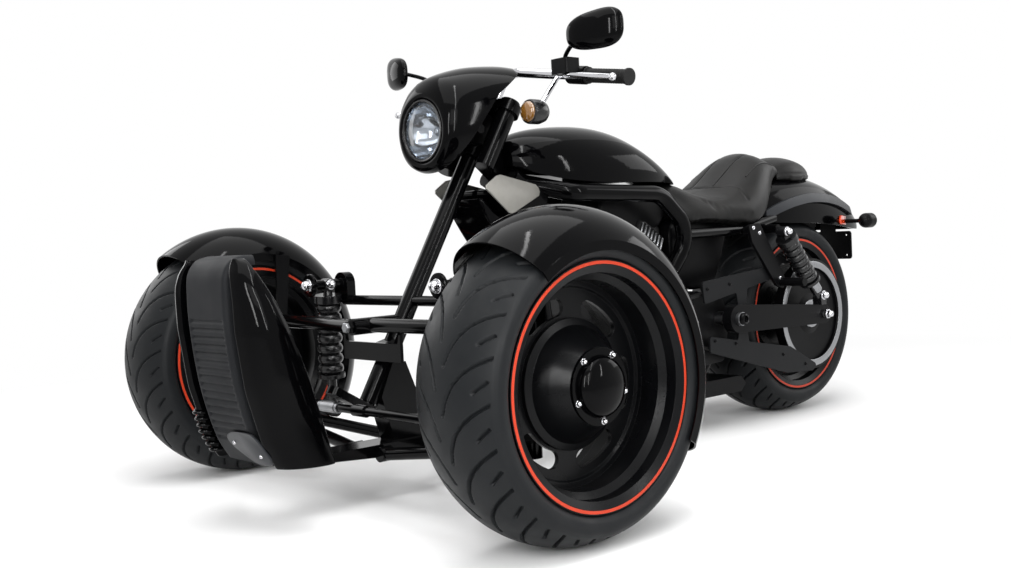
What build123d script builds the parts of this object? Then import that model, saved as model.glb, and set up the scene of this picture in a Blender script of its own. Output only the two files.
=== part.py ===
from build123d import *
import os
from math import cos, radians, sin

os.makedirs("parts", exist_ok=True)

# Motorized reverse trike: two steered front wheels, one driven rear wheel.
# Millimetres. +Z is up, forward is -Y, the rider's left is +X, the floor is Z = 0.

# Stance
WHEELBASE = 1630
DRAWN_WHEELBASE = 1630  # wheelbase for which the rows' distances behind the front axle are written
TRACK = 1310
NOSE_REACH = 450  # foremost point ahead of the front axle
TAIL_REACH = 400  # rearmost point behind the rear axle
FRONT_Y = (NOSE_REACH - WHEELBASE - TAIL_REACH) / 2  # front axle line
REAR_Y = FRONT_Y + WHEELBASE  # rear axle line
SEAT_GAP = 0.3  # clearance between pieces that rest on each other
RUN_GAP = 6  # clearance between pieces that move past each other
SIDES = [("left", 1), ("right", -1)]

# Wheels
TYRE_RADIUS = 324
TYRE_WIDTH = 240
TREAD_DEPTH = 16
SIDEWALL = 14
BEAD_RADIUS = TYRE_RADIUS - 94
RIM_HALF = 105  # wheel middle to the inside of a rim flange
FLANGE_RADIUS = BEAD_RADIUS + 17
FLANGE_THICK = 6
BARREL_THICK = 8
WELL_RADIUS = BEAD_RADIUS - 14
WELL_HALF = 70
DISC_THICK = 10
SLOT_COUNT = 6
SLOT_MID_RADIUS = 156
SLOT_HALF_WIDTH = 18
SLOT_SWEEP = 28
SLOT_FIRST = 54  # degrees up from the rear
HUB_FLANGE_RADIUS = 77
CAP_DOME_RADIUS = 49
CAP_DOME_HEIGHT = 27
CAP_RIM = 7
CAP_FLAT = 6
SPINDLE_RADIUS = 24
BEARING_GAP = 0.08

# Front suspension and steering
KINGPIN_INSET = 110  # wheel middle to kingpin
KINGPIN_X = TRACK / 2 - KINGPIN_INSET
KNUCKLE_LOW = TYRE_RADIUS - 128
KNUCKLE_HIGH = TYRE_RADIUS + 88
PIN_RADIUS = 9
ARM_RADIUS = 17
STEER_ARM_REACH = 112  # kingpin to tie rod
TIE_ROD_RADIUS = 10
TIE_ROD_Z = 238
UPPER_PIVOT_Z = KNUCKLE_HIGH + 12
LOWER_PIVOT_Z = 120
FENDER_CROWN = TYRE_RADIUS + 36
FENDER_HALF = 130
FENDER_SKIRT = TYRE_RADIUS - 60
FENDER_THICK = 4
FENDER_FRONT_ANGLE = 36
FENDER_REAR_ANGLE = 121

# Steering head
RAKE = 31
HEAD_Y = FRONT_Y + 322
HEAD_Z = 812
COLUMN_RADIUS = 23
COLUMN_LENGTH = 670
STEM_RADIUS = 16
HEAD_TUBE_RADIUS = 33
HEAD_TUBE_LENGTH = 115
CLAMP_THICK = 26
FORK_STUB_X = 78
FORK_STUB_RADIUS = 26
HEAD_PLANE = Plane((0, HEAD_Y, HEAD_Z), x_dir=(1, 0, 0), z_dir=(0, sin(radians(RAKE)), cos(radians(RAKE))))


def from_front(y):
    """Row Y of a place measured back from the front axle; places stretch with the wheelbase."""
    return FRONT_Y + y * (WHEELBASE / DRAWN_WHEELBASE)


def wheel_plane(x, y):
    """Plane through a wheel's middle: local x runs along the axle, local y runs out to the tread."""
    return Plane((x, y, TYRE_RADIUS), x_dir=(1, 0, 0), z_dir=(0, -1, 0))


def bent_tube(points, bends, radius):
    """Round tube along straight runs joined by tangent arcs."""
    with BuildPart() as tube:
        with BuildLine() as run:
            FilletPolyline(*points, radius=bends)
        with BuildSketch(Plane(run.line @ 0, z_dir=run.line % 0)):
            Circle(radius)
        sweep(path=run.line)
    return tube.part


def straight_bar(start, end, radius):
    """Round bar from one point to another."""
    with BuildPart() as bar:
        with BuildLine() as run:
            Line(start, end)
        with BuildSketch(Plane(run.line @ 0, z_dir=run.line % 0)):
            Circle(radius)
        sweep(path=run.line)
    return bar.part


def save(piece, name):
    """Label a finished piece and write it."""
    piece.label = name
    export_step(piece, f"parts/{name}.step")


# Tyres: low wide carcass with a round crown, open inside against the rim
def tyre_part(x, y):
    half = TYRE_WIDTH / 2
    shoulder = (half - 12, TYRE_RADIUS - 32)
    belly = (half, TYRE_RADIUS - 54)
    inner_half = RIM_HALF - 1 - SIDEWALL
    with BuildPart() as tyre:
        with BuildSketch(wheel_plane(x, y)):
            with BuildLine():
                for side in (1, -1):
                    Polyline(
                        (side * inner_half, BEAD_RADIUS + 10),
                        (side * inner_half, BEAD_RADIUS),
                        (side * (RIM_HALF - 1), BEAD_RADIUS),
                        (side * (RIM_HALF - 1), FLANGE_RADIUS + 1),
                    )
                    ThreePointArc(
                        (side * (RIM_HALF - 1), FLANGE_RADIUS + 1),
                        (side * belly[0], belly[1]),
                        (side * shoulder[0], shoulder[1]),
                    )
                    Line((side * inner_half, BEAD_RADIUS + 10), (side * (shoulder[0] - 6), shoulder[1] - TREAD_DEPTH))
                ThreePointArc((-shoulder[0], shoulder[1]), (0, TYRE_RADIUS), shoulder)
                ThreePointArc(
                    (6 - shoulder[0], shoulder[1] - TREAD_DEPTH),
                    (0, TYRE_RADIUS - TREAD_DEPTH),
                    (shoulder[0] - 6, shoulder[1] - TREAD_DEPTH),
                )
            make_face()
        revolve(axis=Axis((x, y, TYRE_RADIUS), (1, 0, 0)))
    return tyre.part


# Rims: flanged drop-centre barrel, slotted disc and a turned hub neck
# A neck row is distance out from the wheel's middle, radius
FRONT_NECK = [(24, 132), (30, 118), (58, 100), (92, HUB_FLANGE_RADIUS)]
REAR_NECK = [(20, 120), (30, 104), (44, 70), (62, 62)]


with BuildSketch() as slot_ring:
    with PolarLocations(0, SLOT_COUNT):
        SlotArc(CenterArc((0, 0), SLOT_MID_RADIUS, SLOT_FIRST - SLOT_SWEEP / 2, SLOT_SWEEP), 2 * SLOT_HALF_WIDTH)


def rim_part(x, y, outward, disc_at, neck, hub_inboard, bore):
    seat = BEAD_RADIUS - SEAT_GAP
    lip = RIM_HALF + FLANGE_THICK
    well_inside = WELL_RADIUS - BARREL_THICK
    with BuildPart() as rim:
        with BuildSketch(wheel_plane(x, y)):
            with BuildLine():
                for side in (1, -1):
                    Polyline(
                        (0, WELL_RADIUS),
                        (side * WELL_HALF, WELL_RADIUS),
                        (side * (WELL_HALF + 12), seat),
                        (side * RIM_HALF, seat),
                        (side * RIM_HALF, FLANGE_RADIUS),
                        (side * lip, FLANGE_RADIUS),
                        (side * lip, FLANGE_RADIUS - 10),
                        (side * (lip - 8), seat - BARREL_THICK),
                        (side * (WELL_HALF + 8), seat - BARREL_THICK),
                        (side * (WELL_HALF - 4), well_inside),
                        (0, well_inside),
                    )
            make_face()
        revolve(axis=Axis((x, y, TYRE_RADIUS), (1, 0, 0)))
        with BuildSketch(wheel_plane(x, y)):
            with BuildLine():
                Polyline(
                    (outward * hub_inboard, bore),
                    (outward * hub_inboard, 58),
                    (outward * (disc_at - DISC_THICK), 64),
                    (outward * (disc_at - DISC_THICK), well_inside + 1),
                    (outward * (disc_at + 6), well_inside + 1),
                    (outward * (disc_at + 6), well_inside - 12),
                    (outward * disc_at, well_inside - 16),
                    (outward * disc_at, neck[0][1]),
                    *[(outward * out, radius) for out, radius in neck],
                    (outward * neck[-1][0], bore),
                    close=True,
                )
            make_face()
        revolve(axis=Axis((x, y, TYRE_RADIUS), (1, 0, 0)))
        with BuildSketch(Plane((x, y, TYRE_RADIUS), x_dir=(0, 1, 0), z_dir=(1, 0, 0))):
            add(slot_ring.sketch)
        extrude(amount=WELL_HALF, both=True, mode=Mode.SUBTRACT)
    return rim.part


for side_name, side in SIDES:
    wheel_x = side * TRACK / 2
    save(tyre_part(wheel_x, FRONT_Y), f"tyre_front_{side_name}")
    save(
        rim_part(wheel_x, FRONT_Y, side, 14, FRONT_NECK, -34, SPINDLE_RADIUS + BEARING_GAP),
        f"rim_front_{side_name}",
    )
    with BuildPart() as hub_cap:
        with BuildSketch(wheel_plane(wheel_x, FRONT_Y)):
            face_at = FRONT_NECK[-1][0]
            with BuildLine():
                Polyline(
                    (side * (face_at + CAP_RIM + CAP_DOME_HEIGHT), CAP_FLAT),
                    (side * (face_at + CAP_RIM + CAP_DOME_HEIGHT), 0),
                    (side * face_at, 0),
                    (side * face_at, HUB_FLANGE_RADIUS),
                    (side * (face_at + CAP_RIM), HUB_FLANGE_RADIUS),
                    (side * (face_at + CAP_RIM), CAP_DOME_RADIUS),
                )
                RadiusArc(
                    (side * (face_at + CAP_RIM), CAP_DOME_RADIUS),
                    (side * (face_at + CAP_RIM + CAP_DOME_HEIGHT), CAP_FLAT),
                    side * CAP_DOME_RADIUS,
                )
            make_face()
        revolve(axis=Axis((wheel_x, FRONT_Y, TYRE_RADIUS), (1, 0, 0)))
    save(hub_cap.part, f"hub_cap_{side_name}")

# Front fenders: round-crowned cycle guards that ride on the knuckles
for side_name, side in SIDES:
    wheel_x = side * TRACK / 2
    axle_line = Axis((wheel_x, FRONT_Y, TYRE_RADIUS), (1, 0, 0))
    with BuildPart() as fender:
        with BuildSketch(wheel_plane(wheel_x, FRONT_Y).rotated((FENDER_FRONT_ANGLE, 0, 0))):
            inner = FENDER_HALF - FENDER_THICK
            knee = FENDER_SKIRT + 20
            with BuildLine():
                Polyline((-FENDER_HALF, knee), (-FENDER_HALF, FENDER_SKIRT), (-inner, FENDER_SKIRT), (-inner, knee))
                ThreePointArc((-inner, knee), (0, FENDER_CROWN - FENDER_THICK), (inner, knee))
                Polyline((inner, knee), (inner, FENDER_SKIRT), (FENDER_HALF, FENDER_SKIRT), (FENDER_HALF, knee))
                ThreePointArc((FENDER_HALF, knee), (0, FENDER_CROWN), (-FENDER_HALF, knee))
            make_face()
        revolve(axis=axle_line, revolution_arc=-(FENDER_FRONT_ANGLE + FENDER_REAR_ANGLE))
    save(fender.part, f"fender_front_{side_name}")

# Knuckles: post on the kingpin, stub axle for the wheel and an arm forward to the tie rod
KNUCKLE_RADIUS = 27
HUB_DRUM_RADIUS = 54
STUB_END = 60  # stub axle's reach past the wheel's middle
STEER_ARM_WIDTH = 40
STEER_ARM_THICK = 22
STEER_ARM_TOP = TIE_ROD_Z - TIE_ROD_RADIUS - 4 - SEAT_GAP
PIN_REACH = 26
BRACKET_THICK = 7
BRACKET_WEB = 34
for side_name, side in SIDES:
    wheel_x = side * TRACK / 2
    kingpin = (side * KINGPIN_X, FRONT_Y)
    outward = Plane((kingpin[0], FRONT_Y, TYRE_RADIUS), x_dir=(0, 1, 0), z_dir=(side, 0, 0))
    skirt_x = wheel_x - side * (FENDER_HALF + SEAT_GAP)
    with BuildPart() as knuckle:
        # Row: lower end, length, radius of a cylinder on the kingpin line
        for low, length, radius in [
            (KNUCKLE_LOW, KNUCKLE_HIGH - KNUCKLE_LOW, KNUCKLE_RADIUS),
            (KNUCKLE_LOW - PIN_REACH, KNUCKLE_HIGH - KNUCKLE_LOW + 2 * PIN_REACH, PIN_RADIUS),
        ]:
            with BuildSketch(Plane.XY.offset(low)):
                with Locations(kingpin):
                    Circle(radius)
            extrude(amount=length)
        # Row: radius, reach of a cylinder on the axle line
        for radius, reach in [(HUB_DRUM_RADIUS, KINGPIN_INSET - 36), (SPINDLE_RADIUS, KINGPIN_INSET + STUB_END)]:
            with BuildSketch(outward):
                Circle(radius)
            extrude(amount=reach)
        with BuildSketch(Plane.XY.offset(STEER_ARM_TOP - STEER_ARM_THICK)):
            with Locations((kingpin[0], FRONT_Y - STEER_ARM_REACH / 2)):
                SlotCenterToCenter(STEER_ARM_REACH, STEER_ARM_WIDTH, rotation=90)
        extrude(amount=STEER_ARM_THICK)
        # Flat bar behind the post that carries the fender at its inner skirt
        with BuildSketch(Plane((skirt_x, 0, 0), x_dir=(0, 1, 0), z_dir=(1, 0, 0))):
            with BuildLine():
                Polyline(
                    (FRONT_Y, TYRE_RADIUS),
                    (FRONT_Y + 66, TYRE_RADIUS),
                    (FRONT_Y + 95, TYRE_RADIUS + FENDER_SKIRT + 10),
                    (FRONT_Y + 52, TYRE_RADIUS + FENDER_SKIRT + 14),
                    (FRONT_Y + 47, KNUCKLE_HIGH - 20),
                    (FRONT_Y, KNUCKLE_HIGH - 40),
                    close=True,
                )
            make_face()
        extrude(amount=-side * BRACKET_THICK)
        with BuildSketch(Plane.XY.offset(TYRE_RADIUS)):
            with Locations(((kingpin[0] + skirt_x) / 2, FRONT_Y + 14)):
                Rectangle(BRACKET_WEB, 40)
        extrude(amount=KNUCKLE_HIGH - 40 - TYRE_RADIUS)
    save(knuckle.part, f"knuckle_{side_name}")

# Front frame: raked column tube from the steering head down to the lower beam
BEAM_HALF = 40
BEAM_LOW = 96
BEAM_HIGH = 140
BEAM_FRONT = from_front(-330)
BEAM_REAR = from_front(170)
EYE_RADIUS = 20
PIVOT_BOLT = 9
UPPER_EYE = 36  # length of an upper arm's eye on the pivot
PIVOT_Y = from_front(-24)


def column_place(height):
    """Row Y of the column tube's middle at a height."""
    return HEAD_Y - (HEAD_Z - height) * sin(radians(RAKE)) / cos(radians(RAKE))


with BuildPart() as column_tube:
    with BuildSketch(HEAD_PLANE.offset(-COLUMN_LENGTH)):
        Circle(COLUMN_RADIUS)
        Circle(STEM_RADIUS, mode=Mode.SUBTRACT)
    extrude(amount=COLUMN_LENGTH + 20)
    # Boss that carries the upper arms ahead of the tube
    with BuildSketch(Plane((0, PIVOT_Y + UPPER_EYE + SEAT_GAP, UPPER_PIVOT_Z), (1, 0, 0), (0, 1, 0))):
        Circle(EYE_RADIUS)
    extrude(amount=column_place(UPPER_PIVOT_Z) - COLUMN_RADIUS + 8 - PIVOT_Y - UPPER_EYE)
    with BuildSketch(Plane((0, PIVOT_Y - UPPER_EYE - 6, UPPER_PIVOT_Z), (1, 0, 0), (0, 1, 0))):
        Circle(PIVOT_BOLT)
    extrude(amount=2 * UPPER_EYE + 20)
    with BuildSketch(Plane((0, PIVOT_Y - UPPER_EYE - SEAT_GAP - 12, UPPER_PIVOT_Z), (1, 0, 0), (0, 1, 0))):
        RegularPolygon(16, 6)
    extrude(amount=12)
    with BuildSketch(HEAD_PLANE.offset(-COLUMN_LENGTH - 10)):
        Circle(STEM_RADIUS)
    extrude(amount=COLUMN_LENGTH + 40, mode=Mode.SUBTRACT)
save(column_tube.part, "column_tube")

# Lower beam under the column, with lugs for the lower arms and the foot that holds the tube
with BuildPart() as lower_beam:
    with BuildSketch(Plane.XY.offset(BEAM_LOW)):
        with Locations((0, (BEAM_FRONT + BEAM_REAR) / 2)):
            RectangleRounded(2 * BEAM_HALF, BEAM_REAR - BEAM_FRONT, 12)
    extrude(amount=BEAM_HIGH - BEAM_LOW)
    with BuildSketch(Plane.YZ):
        with BuildLine():
            Polyline(
                (from_front(30), BEAM_HIGH - 4),
                (from_front(150), BEAM_HIGH - 4),
                (column_place(330) + 40, 330),
                (column_place(330), 330),
                (column_place(250) + 12, 250),
                close=True,
            )
        make_face()
    extrude(amount=30, both=True)
    with BuildSketch(HEAD_PLANE.offset(-COLUMN_LENGTH - 40)):
        Circle(COLUMN_RADIUS)
    extrude(amount=COLUMN_LENGTH, mode=Mode.SUBTRACT)
save(lower_beam.part, "front_beam")

# Upper arms: one tube each side from the middle pivot out to the kingpin
upper_arms = []
# Row: side, eye front, eye rear
for side, eye_front, eye_rear in [(-1, -UPPER_EYE, -SEAT_GAP), (1, 0, UPPER_EYE)]:
    eye_mid = PIVOT_Y + (eye_front + eye_rear) / 2
    arm = straight_bar(
        (side * 12, eye_mid, UPPER_PIVOT_Z), (side * (KINGPIN_X - 8), FRONT_Y, KNUCKLE_HIGH + 16), ARM_RADIUS
    )
    with BuildPart() as upper_arm:
        add(arm)
        with BuildSketch(Plane((0, PIVOT_Y + eye_front, UPPER_PIVOT_Z), x_dir=(1, 0, 0), z_dir=(0, 1, 0))):
            Circle(EYE_RADIUS)
        extrude(amount=eye_rear - eye_front)
        with BuildSketch(Plane.XY.offset(KNUCKLE_HIGH + SEAT_GAP)):
            with Locations((side * KINGPIN_X, FRONT_Y)):
                Circle(24)
        extrude(amount=32)
        with BuildSketch(Plane((0, PIVOT_Y - 60, UPPER_PIVOT_Z), x_dir=(1, 0, 0), z_dir=(0, 1, 0))):
            Circle(PIVOT_BOLT + SEAT_GAP)
        extrude(amount=140, mode=Mode.SUBTRACT)
        with BuildSketch(Plane.XY.offset(KNUCKLE_HIGH - 20)):
            with Locations((side * KINGPIN_X, FRONT_Y)):
                Circle(PIN_RADIUS + SEAT_GAP)
        extrude(amount=20 + PIN_REACH + 2, mode=Mode.SUBTRACT)
        with BuildSketch(Plane.XY.offset(KNUCKLE_HIGH - 40)):
            with Locations((side * KINGPIN_X, FRONT_Y)):
                Circle(70)
        extrude(amount=40 + SEAT_GAP, mode=Mode.SUBTRACT)
    upper_arms.append(upper_arm.part)
save(Compound(upper_arms), "upper_arms")

# Lower arms: a front and a rear leg that meet at the kingpin
LOWER_EYE_X = BEAM_HALF + 19
LOWER_BOSS_HIGH = KNUCKLE_LOW - SEAT_GAP
LOWER_LEGS = [from_front(-24), from_front(140)]
EYE_LENGTH = 34
lower_arms = []
for _, side in SIDES:
    apex = (side * (KINGPIN_X - 6), FRONT_Y, LOWER_BOSS_HIGH - 17)
    legs = [straight_bar((side * (LOWER_EYE_X + 8), y, LOWER_PIVOT_Z), apex, ARM_RADIUS - 2) for y in LOWER_LEGS]
    with BuildPart() as lower_arm:
        for leg in legs:
            add(leg)
        for y in LOWER_LEGS:
            with BuildSketch(Plane((side * LOWER_EYE_X, y - EYE_LENGTH / 2, LOWER_PIVOT_Z), (1, 0, 0), (0, 1, 0))):
                Circle(EYE_RADIUS - 2)
            extrude(amount=EYE_LENGTH)
        with BuildSketch(Plane.XY.offset(LOWER_BOSS_HIGH - 34)):
            with Locations((side * KINGPIN_X, FRONT_Y)):
                Circle(25)
        extrude(amount=34)
        with BuildSketch(Plane.XY.offset(LOWER_BOSS_HIGH)):
            with Locations((side * KINGPIN_X, FRONT_Y)):
                Circle(80)
        extrude(amount=40, mode=Mode.SUBTRACT)
        with BuildSketch(Plane.XY.offset(LOWER_BOSS_HIGH - PIN_REACH - 2)):
            with Locations((side * KINGPIN_X, FRONT_Y)):
                Circle(PIN_RADIUS + SEAT_GAP)
        extrude(amount=PIN_REACH + 20, mode=Mode.SUBTRACT)
        with BuildSketch(Plane((side * BEAM_HALF, BEAM_FRONT, BEAM_LOW - 40), (0, 1, 0), (side, 0, 0))):
            Rectangle(2000, 2000)
        extrude(amount=-60, mode=Mode.SUBTRACT)
    lower_arms.append(lower_arm.part)
save(Compound(lower_arms), "lower_arms")

# Coil-over shocks: upper eye, spring seat, coil ridges, lower body and lower eye on one line
def shock_part(top, bottom, coil_radius, body_radius, coils):
    line = Vector(*bottom) - Vector(*top)
    across = Plane(Vector(*top), x_dir=(1, 0, 0), z_dir=line)
    along = Plane(Vector(*top), x_dir=line, z_dir=across.x_dir)
    length = line.length
    coil_start, coil_end = 0.14 * length, 0.7 * length
    pitch = (coil_end - coil_start) / coils
    core = 0.7 * coil_radius
    rod = 0.78 * body_radius
    with BuildPart() as shock:
        with BuildSketch(along):
            with BuildLine():
                Polyline(
                    (0, 0),
                    (0, 0.5 * rod),
                    (0.08 * length, rod),
                    (0.08 * length, coil_radius + 3),
                    (coil_start, coil_radius + 3),
                    (coil_start, core),
                )
                for turn in range(coils):
                    start = coil_start + turn * pitch
                    ThreePointArc((start, core), (start + pitch / 2, coil_radius), (start + pitch, core))
                Polyline(
                    (coil_end, core),
                    (coil_end, coil_radius + 3),
                    (coil_end + 0.03 * length, coil_radius + 3),
                    (coil_end + 0.03 * length, rod),
                    (length, rod),
                    (length, 0),
                    (0, 0),
                )
            make_face()
        revolve(axis=Axis(Vector(*top), line))
        for end in (top, bottom):
            with BuildSketch(Plane((end[0] - body_radius, end[1], end[2]), (0, 1, 0), (1, 0, 0))):
                Circle(body_radius)
            extrude(amount=2 * body_radius)
    return shock.part


# Shock beam across the column, with a rounded ear for each upper shock eye
SHOCK_TOP = (267, from_front(52), 519)
SHOCK_BEAM_Z = 474
SHOCK_BEAM_RADIUS = 13
EAR_RADIUS = 30
SHOCK_BODY = 16
SHOCK_COIL = 33
SHOCK_FOOT_X = 300
foot_share = (KINGPIN_X - SHOCK_FOOT_X) / (KINGPIN_X - LOWER_EYE_X)
SHOCK_FOOT = (
    SHOCK_FOOT_X,
    FRONT_Y + foot_share * (LOWER_LEGS[1] - FRONT_Y),
    LOWER_PIVOT_Z + (1 - foot_share) * (LOWER_BOSS_HIGH - 17 - LOWER_PIVOT_Z) + ARM_RADIUS + SHOCK_BODY,
)
beam_y = column_place(SHOCK_BEAM_Z)
cross_bar = straight_bar((0, beam_y, SHOCK_BEAM_Z), (SHOCK_TOP[0] + 20, beam_y, SHOCK_BEAM_Z), SHOCK_BEAM_RADIUS)
with BuildPart() as shock_beam:
    add(cross_bar)
    ear_front = SHOCK_TOP[1] + SHOCK_COIL + 8
    with BuildSketch(Plane((SHOCK_TOP[0], ear_front, SHOCK_TOP[2]), (1, 0, 0), (0, -1, 0))):
        Circle(EAR_RADIUS)
        with Locations((0, (SHOCK_BEAM_Z - SHOCK_TOP[2]) / 2)):
            Rectangle(2 * EAR_RADIUS, SHOCK_TOP[2] - SHOCK_BEAM_Z)
    extrude(amount=-(beam_y - ear_front))
    with BuildSketch(Plane((SHOCK_TOP[0], SHOCK_TOP[1] + SHOCK_BODY + SEAT_GAP, SHOCK_TOP[2]), (1, 0, 0), (0, 1, 0))):
        Circle(SHOCK_BODY - 2)
    extrude(amount=ear_front - SHOCK_TOP[1] - SHOCK_BODY)
    with BuildSketch(HEAD_PLANE.offset(-COLUMN_LENGTH)):
        Circle(COLUMN_RADIUS)
    extrude(amount=COLUMN_LENGTH, mode=Mode.SUBTRACT)
    mirror(about=Plane.YZ)
save(shock_beam.part, "shock_beam")
front_shock = shock_part(SHOCK_TOP, SHOCK_FOOT, SHOCK_COIL, SHOCK_BODY, 7)
with BuildPart() as front_shocks:
    add(front_shock)
    mirror(about=Plane.YZ)
save(front_shocks.part, "front_shocks")

# Tie rod: one bar between the steering arms, with clamped sleeves and an eye on each arm
TIE_ROD_Y = FRONT_Y - STEER_ARM_REACH
TIE_EYE_RADIUS = 19
SLEEVE_X = 96
tie_bar = straight_bar((-KINGPIN_X, TIE_ROD_Y, TIE_ROD_Z), (KINGPIN_X, TIE_ROD_Y, TIE_ROD_Z), TIE_ROD_RADIUS)
with BuildPart() as tie_rod:
    add(tie_bar)
    for _, side in SIDES:
        with BuildSketch(Plane.XY.offset(STEER_ARM_TOP + SEAT_GAP)):
            with Locations((side * KINGPIN_X, TIE_ROD_Y)):
                Circle(TIE_EYE_RADIUS)
        extrude(amount=2 * (TIE_ROD_Z - STEER_ARM_TOP - SEAT_GAP))
        with BuildSketch(Plane((side * SLEEVE_X - 24, TIE_ROD_Y, TIE_ROD_Z), (0, 1, 0), (1, 0, 0))):
            Circle(TIE_ROD_RADIUS + 4)
        extrude(amount=48)
save(tie_rod.part, "tie_rod")

# Steering stem: shaft inside the column, pitman arm at its foot, clamps and fork stubs at its head
STEM_GAP = 0.3
PITMAN_REACH = 98
PITMAN_THICK = 20
HEAD_TUBE_LOW = 26  # along the stem from the head's datum
HEAD_TUBE_HIGH = HEAD_TUBE_LOW + HEAD_TUBE_LENGTH
CLAMP_LOW = -14
CLAMP_TOP = HEAD_TUBE_HIGH + RUN_GAP
with BuildPart() as steering_stem:
    with BuildSketch(HEAD_PLANE.offset(-COLUMN_LENGTH - RUN_GAP - PITMAN_THICK)):
        Circle(STEM_RADIUS - STEM_GAP)
    extrude(amount=COLUMN_LENGTH + RUN_GAP + PITMAN_THICK + CLAMP_TOP + CLAMP_THICK)
    with BuildSketch(HEAD_PLANE.offset(-COLUMN_LENGTH - RUN_GAP - PITMAN_THICK)):
        with Locations((0, -PITMAN_REACH / 2)):
            SlotCenterToCenter(PITMAN_REACH, 44, rotation=90)
    extrude(amount=PITMAN_THICK)
    with BuildSketch(HEAD_PLANE.offset(CLAMP_TOP)):
        SlotCenterToCenter(2 * FORK_STUB_X, 2 * FORK_STUB_RADIUS + 16)
        with Locations((0, 12)):
            Circle(44)
    extrude(amount=CLAMP_THICK)
    with BuildSketch(HEAD_PLANE.offset(CLAMP_LOW)):
        with Locations((-FORK_STUB_X, 0), (FORK_STUB_X, 0)):
            Circle(FORK_STUB_RADIUS)
    extrude(amount=CLAMP_TOP + CLAMP_THICK + 10 - CLAMP_LOW)
save(steering_stem.part, "steering_stem")

# Frame neck: head tube and the backbone box that runs back to the rails
NECK_BACK_Y = from_front(470)
NECK_HALF = 26
with BuildPart() as frame_neck:
    with BuildSketch(HEAD_PLANE.offset(HEAD_TUBE_LOW - 6 + SEAT_GAP)):
        Circle(HEAD_TUBE_RADIUS)
    extrude(amount=HEAD_TUBE_LENGTH + 6 - SEAT_GAP)
    with BuildSketch(Plane.YZ):
        with BuildLine():
            Polyline(
                (column_place(850), 850),
                (column_place(885), 885),
                (NECK_BACK_Y, 800),
                (NECK_BACK_Y, 730),
                (column_place(836) + 6, 836),
                close=True,
            )
        make_face()
    extrude(amount=NECK_HALF, both=True)
    with BuildSketch(HEAD_PLANE.offset(-20)):
        Circle(STEM_RADIUS)
    extrude(amount=HEAD_TUBE_LENGTH + 80, mode=Mode.SUBTRACT)
save(frame_neck.part, "frame_neck")

# Frame rails: a tube each side from the neck under the tank, round behind the engine to the swingarm pivot
RAIL_RADIUS = 24
PIVOT_SHAFT = (from_front(1180), 345)  # swingarm pivot, Y and Z
RAIL_X = 150
# Row: half width, distance behind the front axle, height
RAIL_RUN = [
    (NECK_HALF + RAIL_RADIUS + SEAT_GAP, 432, 782),
    (NECK_HALF + RAIL_RADIUS + SEAT_GAP, 474, 760),
    (RAIL_X, 560, 730),
    (RAIL_X, 905, 722),
    (RAIL_X - 8, 1050, 610),
    (RAIL_X - 44, 940, 440),
]
rail = bent_tube([(x, from_front(y), z) for x, y, z in RAIL_RUN], [30, 60, 110, 90], RAIL_RADIUS)
# Cradle: a tube each side from under the neck, down ahead of the engine and back below it
CRADLE_RADIUS = 19
CRADLE_RUN = [
    (NECK_HALF - 6, 466, 708),
    (62, 500, 560),
    (95, 520, 176),
    (95, 1120, 176),
    (95, 1180, 250),
]
cradle = bent_tube([(x, from_front(y), z) for x, y, z in CRADLE_RUN], [120, 80, 60], CRADLE_RADIUS)
link = straight_bar((BEAM_HALF - 20, BEAM_REAR, (BEAM_LOW + BEAM_HIGH) / 2), (95, from_front(540), 176), CRADLE_RADIUS)
with BuildPart() as frame_cradle:
    add(cradle)
    add(link)
    add(lower_beam.part, mode=Mode.SUBTRACT)
    add(frame_neck.part, mode=Mode.SUBTRACT)
    mirror(about=Plane.YZ)
save(frame_cradle.part, "frame_cradle")

# Rear wheel: tyre, rim and belt pulley on a fixed axle
AXLE_RADIUS = 12
PULLEY_X = 146
PULLEY_RADIUS = 172
BELT_WIDTH = 26
save(tyre_part(0, REAR_Y), "tyre_rear")
save(rim_part(0, REAR_Y, 1, 12, REAR_NECK, -60, AXLE_RADIUS + BEARING_GAP), "rim_rear")
with BuildPart() as pulley:
    with BuildSketch(wheel_plane(0, REAR_Y)):
        with BuildLine():
            Polyline(
                (REAR_NECK[-1][0] + SEAT_GAP, AXLE_RADIUS + BEARING_GAP),
                (REAR_NECK[-1][0] + SEAT_GAP, 60),
                (PULLEY_X - 12, 66),
                (PULLEY_X - 6, PULLEY_RADIUS - 18),
                (PULLEY_X - BELT_WIDTH / 2 - 2, PULLEY_RADIUS - 10),
                (PULLEY_X - BELT_WIDTH / 2 - 2, PULLEY_RADIUS),
                (PULLEY_X + BELT_WIDTH / 2 + 2, PULLEY_RADIUS),
                (PULLEY_X + BELT_WIDTH / 2 + 2, PULLEY_RADIUS - 10),
                (PULLEY_X + 6, PULLEY_RADIUS - 18),
                (PULLEY_X + 2, 66),
                (PULLEY_X + 8, 40),
                (PULLEY_X + 8, AXLE_RADIUS + BEARING_GAP),
                close=True,
            )
        make_face()
    revolve(axis=Axis((0, REAR_Y, TYRE_RADIUS), (1, 0, 0)))
save(pulley.part, "belt_pulley")

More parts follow.
